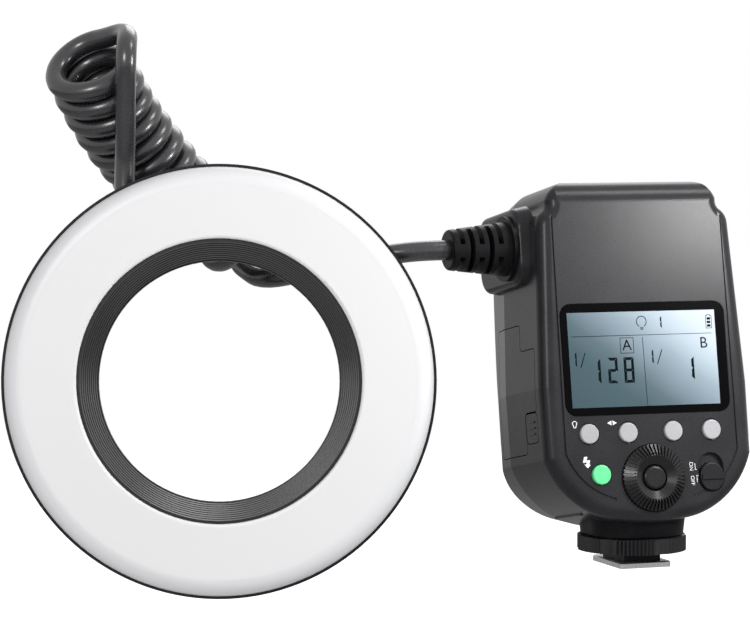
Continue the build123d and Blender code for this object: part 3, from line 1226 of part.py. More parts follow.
with BuildPart() as ring_screws:
    with BuildSketch(RING.offset(-RING_DEPTH)):
        with Locations(*RING_POSTS):
            Circle(RING_SCREW_HEAD_R)
    extrude(amount=RING_SCREW_HEAD)
    with BuildSketch(RING.offset(-RING_DEPTH)):
        with Locations(*RING_POSTS):
            Circle(RING_SCREW_R)
    extrude(amount=RING_DEPTH - TRAY_FLOOR - TRAY_WALL - WALL)
save(ring_screws, "ring_screws")

# Rubber gland where the cord enters the ring head from above
GLAND_FOOT = RING_CENTRE + RING_X * GLAND_ACROSS + RING_Z * GLAND_LEVEL
GLAND_AXIS = Axis(GLAND_FOOT, RING_Y)
with BuildPart() as ring_gland:
    with BuildSketch(Plane(origin=GLAND_FOOT, x_dir=RING_Y, z_dir=RING_X)):
        rings = []
        for index in range(GLAND_RINGS):
            top = GLAND_TIP - GLAND_RING * (1 + 2 * index)
            rings += [(top, GLAND_TIP_R), (top, GLAND_TIP_R - GLAND_RING_DEPTH),
                      (top - GLAND_RING, GLAND_TIP_R - GLAND_RING_DEPTH), (top - GLAND_RING, GLAND_TIP_R)]
        Polygon((GLAND_ROOT, 0), (GLAND_TIP, 0), (GLAND_TIP, GLAND_TIP_R), *rings,
                (GLAND_ROOT, GLAND_R), align=None)
    revolve(axis=GLAND_AXIS)
    add(ring_form.part, mode=Mode.SUBTRACT)
print("ring_gland solids", len(ring_gland.part.solids()))
save(ring_gland, "ring_gland")


# Cords
def route_radii(points):
    """The largest bend that both runs at each corner of a route allow, printed with its turn."""
    radii = []
    for before, corner, after in zip(points, points[1:], points[2:]):
        run_in = Vector(*corner) - Vector(*before)
        run_out = Vector(*after) - Vector(*corner)
        turn = radians(run_in.get_angle(run_out))
        radii.append(FILLET_SHARE * min(run_in.length, run_out.length) / tan(turn / 2))
    return radii


def lead_tube(points, name):
    """A tube along a route of runs joined by tangent arcs."""
    radii = route_radii(points)
    with BuildPart() as lead:
        with BuildLine():
            route = FilletPolyline(*points, radius=radii)
        with BuildSketch(Plane(origin=route @ 0, z_dir=route % 0)):
            Circle(CORD_R)
        sweep(path=route)
    print(name, "radii", [round(radius, 1) for radius in radii], "volume", round(lead.part.volume, 1),
          "section x length", round(pi * CORD_R ** 2 * route.length, 1))
    save(lead, name)


lead_tube(LEAD_TO_COIL, "cord_lead_controller")
lead_tube(LEAD_TO_RING, "cord_lead_ring")

# Curls: a helix about the coil's own curved axis, its pitch closing up towards the ring
with BuildLine() as coil_axis:
    axis_route = FilletPolyline(*COIL_ROUTE, radius=route_radii(COIL_ROUTE))
AXIS_LENGTH = axis_route.length
AXIS_STEPS = int(AXIS_LENGTH / COIL_STEP) + 1
axis_frames = []
across = None
for step in range(AXIS_STEPS + 1):
    share = step / AXIS_STEPS
    tangent = axis_route % share
    if across is None:
        across = tangent.cross(Vector(0, 0, 1)).normalized()
    else:
        across = (across - tangent * across.dot(tangent)).normalized()
    axis_frames.append((axis_route @ share, tangent, across))


def curls(along):
    """Turns made by the time the axis has run a given length."""
    loose = min(along, COIL_LOOSE_LENGTH)
    slope = (COIL_PITCH - COIL_LOOSE_PITCH) / COIL_LOOSE_LENGTH
    turns = log((COIL_LOOSE_PITCH + slope * loose) / COIL_LOOSE_PITCH) / slope
    return turns + max(along - COIL_LOOSE_LENGTH, 0) / COIL_PITCH


TURN_SCALE = COIL_TURNS / curls(AXIS_LENGTH)


def curl_point(along):
    """The wire's centre at a place along the coil's axis."""
    place = min(max(along / AXIS_LENGTH, 0), 1) * AXIS_STEPS
    low = min(int(place), AXIS_STEPS - 1)
    blend = place - low
    centre = axis_frames[low][0] * (1 - blend) + axis_frames[low + 1][0] * blend
    tangent = (axis_frames[low][1] * (1 - blend) + axis_frames[low + 1][1] * blend).normalized()
    side = (axis_frames[low][2] * (1 - blend) + axis_frames[low + 1][2] * blend).normalized()
    phase = radians(COIL_END_ANGLE) + 2 * pi * (COIL_TURNS - curls(along) * TURN_SCALE)
    return centre + (side * cos(phase) + tangent.cross(side) * sin(phase)) * COIL_R


def along_at(turns):
    """The place along the axis where a number of turns has been made."""
    low, high = 0.0, AXIS_LENGTH
    while high - low > COIL_PROBE / 100:
        middle = (low + high) / 2
        if curls(middle) * TURN_SCALE < turns:
            low = middle
        else:
            high = middle
    return (low + high) / 2


def biarc(start, start_way, end, end_way):
    """Two arcs that join two points with given directions: the meeting point and its direction."""
    gap = end - start
    ways = start_way + end_way
    square = 2 * (start_way.dot(end_way) - 1)
    linear = -2 * gap.dot(ways)
    if abs(square) < 1e-9:
        reach = -gap.dot(gap) / linear
    else:
        root = sqrt(linear ** 2 - 4 * square * gap.dot(gap))
        reach = min(value for value in ((-linear + root) / (2 * square), (-linear - root) / (2 * square))
                    if value > 0)
    first = start + start_way * reach
    second = end - end_way * reach
    return (first + second) / 2, (second - first).normalized()


def arc_radius(start, way, end):
    """Radius of the arc that leaves a point in a direction and ends at another point."""
    chord = end - start
    off = (chord - way * chord.dot(way)).length
    return chord.dot(chord) / (2 * off)


lead_start_way = (Vector(*LEAD_TO_COIL[-1]) - Vector(*LEAD_TO_COIL[-2])).normalized()
lead_end_way = (Vector(*LEAD_TO_RING[1]) - Vector(*LEAD_TO_RING[0])).normalized()
coil_start = Vector(*LEAD_TO_COIL[-1])
coil_end = Vector(*LEAD_TO_RING[0])
stations = [(coil_start + lead_start_way * 2 * CORD_R, lead_start_way)]
for span in range(COIL_SPANS + 1):
    along = along_at(COIL_TURNS * span / COIL_SPANS)
    ahead = curl_point(min(along + COIL_PROBE, AXIS_LENGTH))
    behind = curl_point(max(along - COIL_PROBE, 0))
    stations.append((curl_point(along), (ahead - behind).normalized()))
stations.append((coil_end - lead_end_way * 2 * CORD_R, lead_end_way))

with BuildPart() as cord_coil:
    with BuildLine() as coil_path:
        Line(coil_start, stations[0][0])
        smallest = []
        for (start, start_way), (end, end_way) in zip(stations, stations[1:]):
            meeting, meeting_way = biarc(start, start_way, end, end_way)
            TangentArc(start, meeting, tangent=start_way)
            TangentArc(meeting, end, tangent=meeting_way)
            smallest.append(min(arc_radius(start, start_way, meeting),
                                arc_radius(meeting, meeting_way, end)))
        Line(stations[-1][0], coil_end)
    with BuildSketch(Plane(origin=coil_start, z_dir=lead_start_way)):
        Circle(CORD_R)
    sweep(path=coil_path.line)
coil_wire_length = sum(edge.length for edge in coil_path.edges())
probe_points = [edge @ (index / 12) for edge in coil_path.edges() for index in range(12)]
probe_step = coil_wire_length / len(probe_points)
skip = int(2 * COIL_R / probe_step) + 1
least = min((probe_points[a] - probe_points[b]).length for a in range(0, len(probe_points), 2)
            for b in range(a + skip, len(probe_points), 2))
print("cord_coil wire length", round(coil_wire_length, 1), "least bend", round(min(smallest), 2),
      "least gap to itself", round(least - 2 * CORD_R, 2), "volume", round(cord_coil.part.volume, 1),
      "section x length", round(pi * CORD_R ** 2 * coil_wire_length, 1))
save(cord_coil, "cord_coil")
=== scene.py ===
"""Looks of a macro ring flash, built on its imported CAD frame. Metres, +Z up, the panel faces -Y."""

import math

import bmesh
import bpy
from mathutils import Matrix, Vector


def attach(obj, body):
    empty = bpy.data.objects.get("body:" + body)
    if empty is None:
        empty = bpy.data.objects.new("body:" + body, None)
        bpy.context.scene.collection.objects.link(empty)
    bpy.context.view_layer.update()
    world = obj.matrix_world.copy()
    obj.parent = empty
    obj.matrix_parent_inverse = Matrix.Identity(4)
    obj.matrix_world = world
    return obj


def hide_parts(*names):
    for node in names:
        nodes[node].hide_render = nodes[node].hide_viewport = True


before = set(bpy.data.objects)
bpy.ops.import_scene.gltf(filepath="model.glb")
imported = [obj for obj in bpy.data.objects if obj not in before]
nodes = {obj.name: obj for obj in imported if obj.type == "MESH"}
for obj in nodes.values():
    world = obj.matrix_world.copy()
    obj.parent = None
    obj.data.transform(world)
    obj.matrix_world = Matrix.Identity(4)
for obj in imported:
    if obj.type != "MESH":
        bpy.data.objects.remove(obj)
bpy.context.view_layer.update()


# Studio: a long lens on a white set, with a pale floor well below the flash, which hangs in the air.
# A small lamp close to the panel lights its upper right, a soft one on the left lights the ring head, and
# two more, above and behind, the edges. The white world gives the object only a soft fill.
CAMERA_PLACE = (-0.49116, -1.07731, 0.16423)
CAMERA_YAW = 20.29
CAMERA_PITCH = 3.82
CAMERA_LENS = 168.0
CAMERA_NEAR = 0.05
FLOOR_DROP = -0.30
FLOOR_SIZE = 6.0
FLOOR_COLOUR = "#e9e9ea"
FILL_STRENGTH = 0.34
LAMPS = {
    "panel": {"place": (0.132, -0.189, 0.192), "aim": (0.03, 0.0, 0.125), "size": 0.062, "watts": 0.72},
    "left": {"place": (-0.78, -0.80, 0.50), "aim": (-0.12, 0.0, 0.08), "size": 0.26, "watts": 5.1},
    "top": {"place": (0.25, -0.15, 0.62), "aim": (-0.06, 0.0, 0.12), "size": 0.16, "watts": 1.1},
    "back": {"place": (0.20, 0.60, 0.60), "aim": (-0.05, 0.0, 0.09), "size": 0.45, "watts": 1.6},
}


def linear(colour):
    """A #rrggbb sRGB colour as the linear RGBA that Blender's sockets take."""
    shares = [int(colour[place:place + 2], 16) / 255 for place in (1, 3, 5)]
    return [s / 12.92 if s <= 0.04045 else ((s + 0.055) / 1.055) ** 2.4 for s in shares] + [1.0]


def add_node(tree, kind, settings=None, **inputs):
    """Adds a node. Its inputs are given by name or, after an underscore, by number: a socket is linked."""
    node = tree.nodes.new(kind)
    for name, value in (settings or {}).items():
        setattr(node, name, value)
    for name, value in inputs.items():
        socket = node.inputs[int(name[1:]) if name[1:].isdigit() else name.replace("_", " ")]
        if isinstance(value, bpy.types.NodeSocket):
            tree.links.new(value, socket)
        else:
            socket.default_value = value
    return node


def lay_out(obj):
    """Puts an object into the scene."""
    bpy.context.scene.collection.objects.link(obj)
    return obj


camera = lay_out(bpy.data.objects.new("camera", bpy.data.cameras.new("camera")))
camera.location = CAMERA_PLACE
camera.rotation_euler = (math.radians(90 - CAMERA_PITCH), 0, math.radians(-CAMERA_YAW))
camera.data.lens = CAMERA_LENS
camera.data.clip_start = CAMERA_NEAR
bpy.context.scene.camera = camera
bpy.context.scene.view_settings.view_transform = "Standard"

# The world is white to the camera and wherever it is mirrored or shows through something clear
world = bpy.data.worlds.new("white_set")
bpy.context.scene.world = world
world.use_nodes = True
world.node_tree.nodes.clear()
rays = add_node(world.node_tree, "ShaderNodeLightPath")
seen = add_node(world.node_tree, "ShaderNodeMath", {"operation": "MAXIMUM"},
                _0=rays.outputs["Is Camera Ray"], _1=rays.outputs["Is Glossy Ray"])
seen = add_node(world.node_tree, "ShaderNodeMath", {"operation": "MAXIMUM"},
                _0=seen.outputs[0], _1=rays.outputs["Is Transmission Ray"])
strength = add_node(world.node_tree, "ShaderNodeMapRange", Value=seen.outputs[0], To_Min=FILL_STRENGTH,
                    To_Max=1.0)
backdrop = add_node(world.node_tree, "ShaderNodeBackground", Color=linear("#ffffff"),
                    Strength=strength.outputs[0])
add_node(world.node_tree, "ShaderNodeOutputWorld", Surface=backdrop.outputs[0])

for lamp_name, lamp in LAMPS.items():
    light = bpy.data.lights.new(lamp_name, "AREA")
    light.shape = "DISK"
    light.size = lamp["size"]
    light.energy = lamp["watts"]
    holder = lay_out(bpy.data.objects.new(lamp_name, light))
    holder.location = lamp["place"]
    toward = Vector(lamp["aim"]) - Vector(lamp["place"])
    holder.rotation_euler = toward.to_track_quat("-Z", "Y").to_euler()

floor_mesh = bpy.data.meshes.new("floor")
half_floor = FLOOR_SIZE / 2
floor_mesh.from_pydata([(-half_floor, -half_floor, FLOOR_DROP), (half_floor, -half_floor, FLOOR_DROP),
                        (half_floor, half_floor, FLOOR_DROP), (-half_floor, half_floor, FLOOR_DROP)],
                       [], [(0, 1, 2, 3)])
floor = lay_out(bpy.data.objects.new("floor", floor_mesh))
# Matt white paper: pure white to the camera and through clear pieces, and elsewhere as pale as it is lit
paper = bpy.data.materials.new("matt_white_paper")
paper.use_nodes = True
paper.node_tree.nodes.clear()
paper_rays = add_node(paper.node_tree, "ShaderNodeLightPath")
paper_seen = add_node(paper.node_tree, "ShaderNodeMath", {"operation": "MAXIMUM"},
                      _0=paper_rays.outputs["Is Camera Ray"],
                      _1=paper_rays.outputs["Is Transmission Ray"])
paper_glow = add_node(paper.node_tree, "ShaderNodeEmission", Color=linear("#ffffff"),
                      Strength=paper_seen.outputs[0])
paper_face = add_node(paper.node_tree, "ShaderNodeBsdfDiffuse", Color=linear(FLOOR_COLOUR))
paper_mix = add_node(paper.node_tree, "ShaderNodeAddShader", _0=paper_face.outputs[0],
                     _1=paper_glow.outputs[0])
add_node(paper.node_tree, "ShaderNodeOutputMaterial", Surface=paper_mix.outputs[0])
floor_mesh.materials.append(paper)


# Cord: one soft lead from the boot on the controller to the gland on the ring head, wound into curls
# between them. It is extruded PVC over its cores, set hot on a mandrel so that the curls spring back.
CORD_DIAMETER = 0.0068
CURL_RADIUS = 0.0118          # of the control points: the spline runs just inside them
CURL_TURNS = 11.4
CURL_PITCH = 0.0074
CURL_LOOSE_PITCH = 0.0114
CURL_LOOSE_LENGTH = 0.058
CURL_END_ANGLE = -68.84
CURL_POINTS = 24              # in each turn
LEAD_TO_COIL = [
    (-0.0610, 0.0162, 0.1068), (-0.0715, 0.0162, 0.1068), (-0.0816, 0.0205, 0.1052),
    (-0.0893, 0.0284, 0.1032), (-0.0934, 0.0374, 0.1012), (-0.0985, 0.0490, 0.0988),
    (-0.1128, 0.0577, 0.0953),
]
COIL_ROUTE = [
    (-0.1124, 0.0664, 0.1099), (-0.1191, 0.0657, 0.1114), (-0.1269, 0.0651, 0.1143),
    (-0.1351, 0.0637, 0.1192), (-0.1439, 0.0616, 0.1269), (-0.1527, 0.0580, 0.1359),
    (-0.1650, 0.0517, 0.1491), (-0.1732, 0.0459, 0.1602), (-0.1793, 0.0409, 0.1701),
]
LEAD_TO_RING = [
    (-0.1660, 0.0371, 0.1800), (-0.1712, 0.0216, 0.1742), (-0.1698, 0.0277, 0.1565),
    (-0.1686, 0.0315, 0.1464), (-0.1682, 0.0341, 0.1363), (-0.1685, 0.0332, 0.1257),
]


def route_curve(name, points):
    """A smooth NURBS curve that starts and ends at its outer points."""
    curve = bpy.data.curves.new(name, "CURVE")
    curve.dimensions = "3D"
    spline = curve.splines.new("NURBS")
    spline.points.add(len(points) - 1)
    for point, place in zip(spline.points, points):
        point.co = (*place, 1.0)
    spline.order_u = 3
    spline.use_endpoint_u = True
    return lay_out(bpy.data.objects.new(name, curve))


def evaluated_mesh(obj):
    """The mesh that an object's curve, text or modifiers give."""
    bpy.context.view_layer.update()
    return bpy.data.meshes.new_from_object(obj.evaluated_get(bpy.context.evaluated_depsgraph_get()))


axis_curve = route_curve("coil_axis", COIL_ROUTE)
axis_curve.data.resolution_u = 32
axis_mesh = evaluated_mesh(axis_curve)
axis = [vertex.co.copy() for vertex in axis_mesh.vertices]
bpy.data.objects.remove(axis_curve)
bpy.data.meshes.remove(axis_mesh)
reached = [0.0]
for before, after in zip(axis, axis[1:]):
    reached.append(reached[-1] + (after - before).length)
ways = [(axis[min(i + 1, len(axis) - 1)] - axis[max(i - 1, 0)]).normalized() for i in range(len(axis))]
sides = [ways[0].cross(Vector((0, 0, 1))).normalized()]
for way in ways[1:]:
    sides.append((sides[-1] - way * sides[-1].dot(way)).normalized())

pitch_slope = (CURL_PITCH - CURL_LOOSE_PITCH) / CURL_LOOSE_LENGTH
loose_turns = math.log(CURL_PITCH / CURL_LOOSE_PITCH) / pitch_slope
turn_scale = CURL_TURNS / (loose_turns + (reached[-1] - CURL_LOOSE_LENGTH) / CURL_PITCH)


def curl_place(turns):
    """A control point of the curls after a number of turns: the pitch closes up towards the ring."""
    unscaled = turns / turn_scale
    if unscaled < loose_turns:
        along = CURL_LOOSE_PITCH * (math.exp(pitch_slope * unscaled) - 1) / pitch_slope
    else:
        along = CURL_LOOSE_LENGTH + (unscaled - loose_turns) * CURL_PITCH
    along = min(max(along, 0.0), reached[-1])
    low = max(i for i in range(len(axis) - 1) if reached[i] <= along)
    part = (along - reached[low]) / (reached[low + 1] - reached[low])
    centre = axis[low].lerp(axis[low + 1], part)
    way = ways[low].lerp(ways[low + 1], part).normalized()
    side = sides[low].lerp(sides[low + 1], part).normalized()
    phase = math.radians(CURL_END_ANGLE) + 2 * math.pi * (CURL_TURNS - turns)
    return centre + (side * math.cos(phase) + way.cross(side) * math.sin(phase)) * CURL_RADIUS


curl_steps = round(CURL_TURNS * CURL_POINTS)
curls = [tuple(curl_place(CURL_TURNS * step / curl_steps)) for step in range(curl_steps + 1)]
cord = route_curve("curly_cord", LEAD_TO_COIL + curls + LEAD_TO_RING)
cord.data.resolution_u = 5
cord.data.bevel_depth = CORD_DIAMETER / 2
cord.data.bevel_resolution = 6


BROAD_SHARE = 0.04            # scale of the broad clouds of tone, against the grain's
TONE_LOW = 0.12
TONE_HIGH = 0.42
GLOSS_SPREAD = 0.06
RELIEF_STRENGTH = 0.6


def moulded(name, colour, pale, roughness, grain, relief, specular=0.5, metallic=0.0):
    """A finish whose tone (colour to pale), gloss and relief vary with a grain of a size in metres."""
    made = bpy.data.materials.new(name)
    made.use_nodes = True
    tree = made.node_tree
    tree.nodes.clear()
    place = add_node(tree, "ShaderNodeTexCoord")
    fine = add_node(tree, "ShaderNodeTexNoise", Vector=place.outputs["Object"], Scale=1 / grain, Detail=2.0)
    broad = add_node(tree, "ShaderNodeTexNoise", Vector=place.outputs["Object"], Scale=BROAD_SHARE / grain,
                     Detail=3.0)
    both = add_node(tree, "ShaderNodeMath", {"operation": "MULTIPLY"}, _0=fine.outputs[0],
                    _1=broad.outputs[0])
    share = add_node(tree, "ShaderNodeMapRange", Value=both.outputs[0], From_Min=TONE_LOW,
                     From_Max=TONE_HIGH)
    tone = add_node(tree, "ShaderNodeMix", {"data_type": "RGBA"}, _0=share.outputs[0],
                    _6=linear(colour), _7=linear(pale))
    gloss = add_node(tree, "ShaderNodeMapRange", Value=fine.outputs[0],
                     To_Min=roughness - GLOSS_SPREAD, To_Max=roughness + GLOSS_SPREAD)
    bump = add_node(tree, "ShaderNodeBump", Height=fine.outputs[0], Strength=RELIEF_STRENGTH,
                    Distance=relief)
    face = add_node(tree, "ShaderNodeBsdfPrincipled", Base_Color=tone.outputs[2], Metallic=metallic,
                    Roughness=gloss.outputs[0], Normal=bump.outputs[0], Specular_IOR_Level=specular)
    add_node(tree, "ShaderNodeOutputMaterial", Surface=face.outputs[0])
    return made


def dress(material, *names):
    """Gives CAD nodes their material."""
    for name in names:
        nodes[name].data.materials.clear()
        nodes[name].data.materials.append(material)


# Soft PVC with a slight shine: charcoal, with a grain too fine to see at full size, drawn at 0.5 mm
cord_pvc = moulded("soft_pvc_charcoal", "#232326", "#303033", 0.28, 0.0005, 0.00002, specular=0.7)
cord.data.materials.append(cord_pvc)
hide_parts("cord_lead_controller", "cord_coil", "cord_lead_ring")
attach(cord, "controller")


# Strain reliefs: the slotted boot on the controller, its clamp inside, and the gland on the ring head.
# Moulded thermoplastic rubber, pushed over the lead before its plug is crimped and glued in place.
# Rubber scatters more than the case does, and its mould was blasted: near black and nearly dull.
boot_rubber = moulded("blasted_rubber_black", "#0e0e10", "#18181a", 0.42, 0.0004, 0.00002, specular=0.1)
dress(boot_rubber, "cable_boot", "ring_gland")
clamp_nylon = moulded("natural_nylon", "#bdb9ab", "#cdc9bd", 0.45, 0.0006, 0.00002)
dress(clamp_nylon, "cable_clamp")


# Case: front shell with panel and rails, rear cover, and four screws in their deep holes.
# Injection moulded ABS from a spark eroded tool: dark grey with a fine even grain that breaks up
# the gloss. The real grain is 0.1 mm, drawn here at 0.45 mm so that it shows.
case_abs = moulded("spark_eroded_abs_dark_grey", "#222224", "#2c2c2f", 0.29, 0.00045,
                    0.00001, specular=0.16)
dress(case_abs, "front_shell", "rear_cover")
# Zinc plated steel: bright, faintly blue, with drawn wire marks
screw_steel = moulded("zinc_plated_steel", "#aeb1b8", "#c4c7cc", 0.3, 0.0003, 0.00001, metallic=1.0)
dress(screw_steel, "case_screws", "ring_screws")


# Display: an acrylic window over a segment liquid crystal panel and its backlight, all glued in a stack.
# The window is screen printed black from behind up to its clear middle, so the border has full gloss
# and the panel shows as a cool grey field that falls off to one corner:
# its pale upper right is a painted reflection.
PANEL_LEAN = 10.1
PANEL_FOOT = -0.0231
DISPLAY_MIDDLE = (-0.00055, 0.07170)
DISPLAY_HALF = (0.02715, 0.01595)
GLARE_SLANT = 0.75          # what height counts in the fall-off, against width
GLARE_RUN = 1.8
HAZE_SCALE = 90.0
HAZE_DEPTH = 0.08
# Cool grey of the panel with a painted reflection: dark at the lower left, near white at the upper right
DISPLAY_GLARE_TONES = [(0.0, "#42545b"), (0.29, "#485b62"), (0.41, "#586970"), (0.54, "#7a8993"),
                 (0.63, "#8c9ba5"), (0.74, "#a9b7c1"), (0.86, "#bcc6cf"), (1.0, "#c4cbd4")]


def fill_ramp(ramp, tones):
    """Sets the stops of a colour ramp from (place, colour) pairs."""
    while len(ramp.color_ramp.elements) < len(tones):
        ramp.color_ramp.elements.new(0.5)
    for element, (place, colour) in zip(ramp.color_ramp.elements, tones):
        element.position = place
        element.color = linear(colour)


panel_place = (Matrix.Translation((0, PANEL_FOOT, 0))
               @ Matrix.Rotation(math.radians(90 - PANEL_LEAN), 4, "X"))
panel_across = panel_place.to_3x3() @ Vector((1, 0, 0))
panel_up = panel_place.to_3x3() @ Vector((0, 1, 0))

window = bpy.data.materials.new("printed_acrylic_window")
window.use_nodes = True
window.node_tree.nodes.clear()
window_tree = window.node_tree
window_place = add_node(window_tree, "ShaderNodeTexCoord")
inside = []
runs = []
for direction, middle, half in ((panel_across, DISPLAY_MIDDLE[0], DISPLAY_HALF[0]),
                                (panel_up, DISPLAY_MIDDLE[1], DISPLAY_HALF[1])):
    offset = middle + Vector((0, PANEL_FOOT, 0)).dot(direction)
    along = add_node(window_tree, "ShaderNodeVectorMath", {"operation": "DOT_PRODUCT"},
                     _0=window_place.outputs["Object"], _1=tuple(direction))
    run = add_node(window_tree, "ShaderNodeMapRange", {"clamp": False}, Value=along.outputs["Value"],
                   From_Min=offset - half, From_Max=offset + half)
    away = add_node(window_tree, "ShaderNodeMath", {"operation": "COMPARE"}, _0=run.outputs[0], _1=0.5,
                    _2=0.5)
    runs.append(run.outputs[0])
    inside.append(away.outputs[0])
clear = add_node(window_tree, "ShaderNodeMath", {"operation": "MULTIPLY"}, _0=inside[0], _1=inside[1])
# Painted reflection: the grey field lightens across and up the panel, with a faint random haze
slant = add_node(window_tree, "ShaderNodeMath", {"operation": "MULTIPLY_ADD"}, _0=runs[1],
                 _1=GLARE_SLANT, _2=runs[0])
haze = add_node(window_tree, "ShaderNodeTexNoise", Vector=window_place.outputs["Object"],
                Scale=HAZE_SCALE, Detail=1.0)
slanted = add_node(window_tree, "ShaderNodeMath", {"operation": "MULTIPLY_ADD"}, _0=haze.outputs[0],
                   _1=HAZE_DEPTH, _2=slant.outputs[0])
scaled = add_node(window_tree, "ShaderNodeMath", {"operation": "DIVIDE"}, _0=slanted.outputs[0],
                  _1=GLARE_RUN)
tones = add_node(window_tree, "ShaderNodeValToRGB", Fac=scaled.outputs[0])
fill_ramp(tones, DISPLAY_GLARE_TONES)
shown = add_node(window_tree, "ShaderNodeMix", {"data_type": "RGBA"}, _0=clear.outputs[0],
                 _6=linear("#020203"), _7=tones.outputs[0])
window_face = add_node(window_tree, "ShaderNodeBsdfPrincipled", Base_Color=shown.outputs[2],
                       Roughness=0.14, Specular_IOR_Level=0.06)
add_node(window_tree, "ShaderNodeOutputMaterial", Surface=window_face.outputs[0])
dress(window, "lcd_window")
# Float glass with its polariser, and the milky light guide behind it
panel_glass = moulded("polariser_on_glass", "#6f7c82", "#7d898f", 0.2, 0.002, 0.000005)
light_guide = moulded("milky_light_guide", "#dde1e1", "#eaeded", 0.4, 0.002, 0.000005)
dress(panel_glass, "lcd_panel")
dress(light_guide, "lcd_backlight")

# What the display shows: segment figures, two letters and thin rules, in near black liquid crystal
PRINT_THICK = 0.00003
PRINT_SINK = 0.00001
FIGURE_STROKE = 0.00098
SMALL_STROKE = 0.00055
FIGURE_GAP_SHARE = 0.16       # of half a stroke, at each end of a segment
RULE_WIDTH = 0.00018


def slab(form, outline):
    """One flat shape of print from its outline on the panel, in metres."""
    turn = sum(a[0] * b[1] - b[0] * a[1] for a, b in zip(outline, outline[1:] + outline[:1]))
    if turn < 0:
        outline = outline[::-1]
    low = [form.verts.new((u, v, -PRINT_SINK)) for u, v in outline]
    high = [form.verts.new((u, v, PRINT_THICK)) for u, v in outline]
    form.faces.new(high)
    form.faces.new(low[::-1])
    for i in range(len(outline)):
        j = (i + 1) % len(outline)
        form.faces.new((low[i], low[j], high[j], high[i]))


def stroke(form, points, width, closed=False):
    """A line of print with mitred corners."""
    count = len(points)
    places = [Vector(point) for point in points]
    left, right = [], []
    for i, place in enumerate(places):
        before = places[(i - 1) % count] if closed or i else None
        after = places[(i + 1) % count] if closed or i < count - 1 else None
        into = (place - before).normalized() if before is not None else None
        out = (after - place).normalized() if after is not None else None
        into = out if into is None else into
        out = into if out is None else out
        across = Vector((-(into + out).y, (into + out).x)).normalized()
        reach = width / 2 / max(across.dot(Vector((-into.y, into.x))), 0.3)
        left.append(place + across * reach)
        right.append(place - across * reach)
    rings = []
    for l, r in zip(left, right):
        rings.append([form.verts.new((*r, -PRINT_SINK)), form.verts.new((*l, -PRINT_SINK)),
                      form.verts.new((*l, PRINT_THICK)), form.verts.new((*r, PRINT_THICK))])
    for i in range(count if closed else count - 1):
        near, far = rings[i], rings[(i + 1) % count]
        for k in range(4):
            form.faces.new((near[k], near[(k + 1) % 4], far[(k + 1) % 4], far[k]))
    if not closed:
        form.faces.new(rings[0][::-1])
        form.faces.new(rings[-1])


def arc(middle, radius, start, end, steps):
    """Points along an arc, with its angles in degrees."""
    return [(middle[0] + radius * math.cos(math.radians(start + (end - start) * step / steps)),
             middle[1] + radius * math.sin(math.radians(start + (end - start) * step / steps)))
            for step in range(steps + 1)]


def printed(name, form, material):
    """Turns shapes drawn on the panel into a finished piece of print."""
    bmesh.ops.recalc_face_normals(form, faces=form.faces)
    mesh = bpy.data.meshes.new(name)
    form.to_mesh(mesh)
    form.free()
    mesh.transform(panel_place)
    mesh.materials.append(material)
    piece = lay_out(bpy.data.objects.new(name, mesh))
    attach(piece, "controller")
    return piece


def lettering(name, words, size, middle, turn, material):
    """A short text printed on the panel, centred on a place and turned by degrees."""
    text = bpy.data.curves.new(name, "FONT")
    text.body = words
    text.size = size
    text.align_x = "CENTER"
    text.align_y = "CENTER"
    text.extrude = (PRINT_THICK + PRINT_SINK) / 2
    holder = lay_out(bpy.data.objects.new(name + "_text", text))
    mesh = evaluated_mesh(holder)
    bpy.data.objects.remove(holder)
    mesh.transform(panel_place @ Matrix.Translation((*middle, (PRINT_THICK - PRINT_SINK) / 2))
                   @ Matrix.Rotation(math.radians(turn), 4, "Z"))
    mesh.materials.clear()
    mesh.materials.append(material)
    piece = lay_out(bpy.data.objects.new(name, mesh))
    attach(piece, "controller")
    return piece


FIGURES = {"1": "bc", "2": "abged", "8": "abcdefg"}


def figure(form, digit, corner, width, height, line):
    """A seven segment figure from its lower left corner."""
    left, low = corner[0] + line / 2, corner[1] + line / 2
    right, high = corner[0] + width - line / 2, corner[1] + height - line / 2
    middle = (low + high) / 2
    ends = {"a": ((left, high), (right, high), (0, 1)), "b": ((right, high), (right, middle), (1, 0)),
            "c": ((right, middle), (right, low), (1, 0)), "d": ((left, low), (right, low), (0, -1)),
            "e": ((left, middle), (left, low), (-1, 0)), "f": ((left, high), (left, middle), (-1, 0)),
            "g": ((left, middle), (right, middle), (0, 1))}
    for segment in FIGURES[digit]:
        start, end, out = (Vector(part) for part in ends[segment])
        out *= line / 2
        inward = (end - start).normalized() * line / 2
        outline = []
        for place, way in ((start, inward), (end, -inward)):
            level = place.y
            place = place + way * FIGURE_GAP_SHARE
            if level == middle:
                side = [place + way + out, place, place + way - out]
            else:
                side = [place - way + out, place + way - out]
            outline += side if way == inward else side[::-1]
        slab(form, [tuple(point) for point in outline])


crystal = moulded("dark_liquid_crystal", "#060d13", "#0d161d", 0.25, 0.001, 0.000002, specular=0.04)
shown_figures = bmesh.new()
for digit, corner, width, height, line in (
        ("1", (-0.01780, 0.06370), 0.0012, 0.0084, FIGURE_STROKE),
        ("2", (-0.01395, 0.06370), 0.0036, 0.0086, FIGURE_STROKE),
        ("8", (-0.00810, 0.06370), 0.0037, 0.0086, FIGURE_STROKE),
        ("1", (0.01660, 0.06410), 0.0012, 0.0079, FIGURE_STROKE),
        ("1", (-0.02620, 0.06955), 0.0011, 0.0049, SMALL_STROKE),
        ("1", (0.00190, 0.06990), 0.0011, 0.0048, SMALL_STROKE),
        ("1", (0.00585, 0.08180), 0.0010, 0.0041, SMALL_STROKE)):
    figure(shown_figures, digit, corner, width, height, line)
stroke(shown_figures, [(-0.02378, 0.06925), (-0.02190, 0.07420)], 0.00032)
stroke(shown_figures, [(0.00433, 0.06972), (0.00627, 0.07461)], 0.00032)
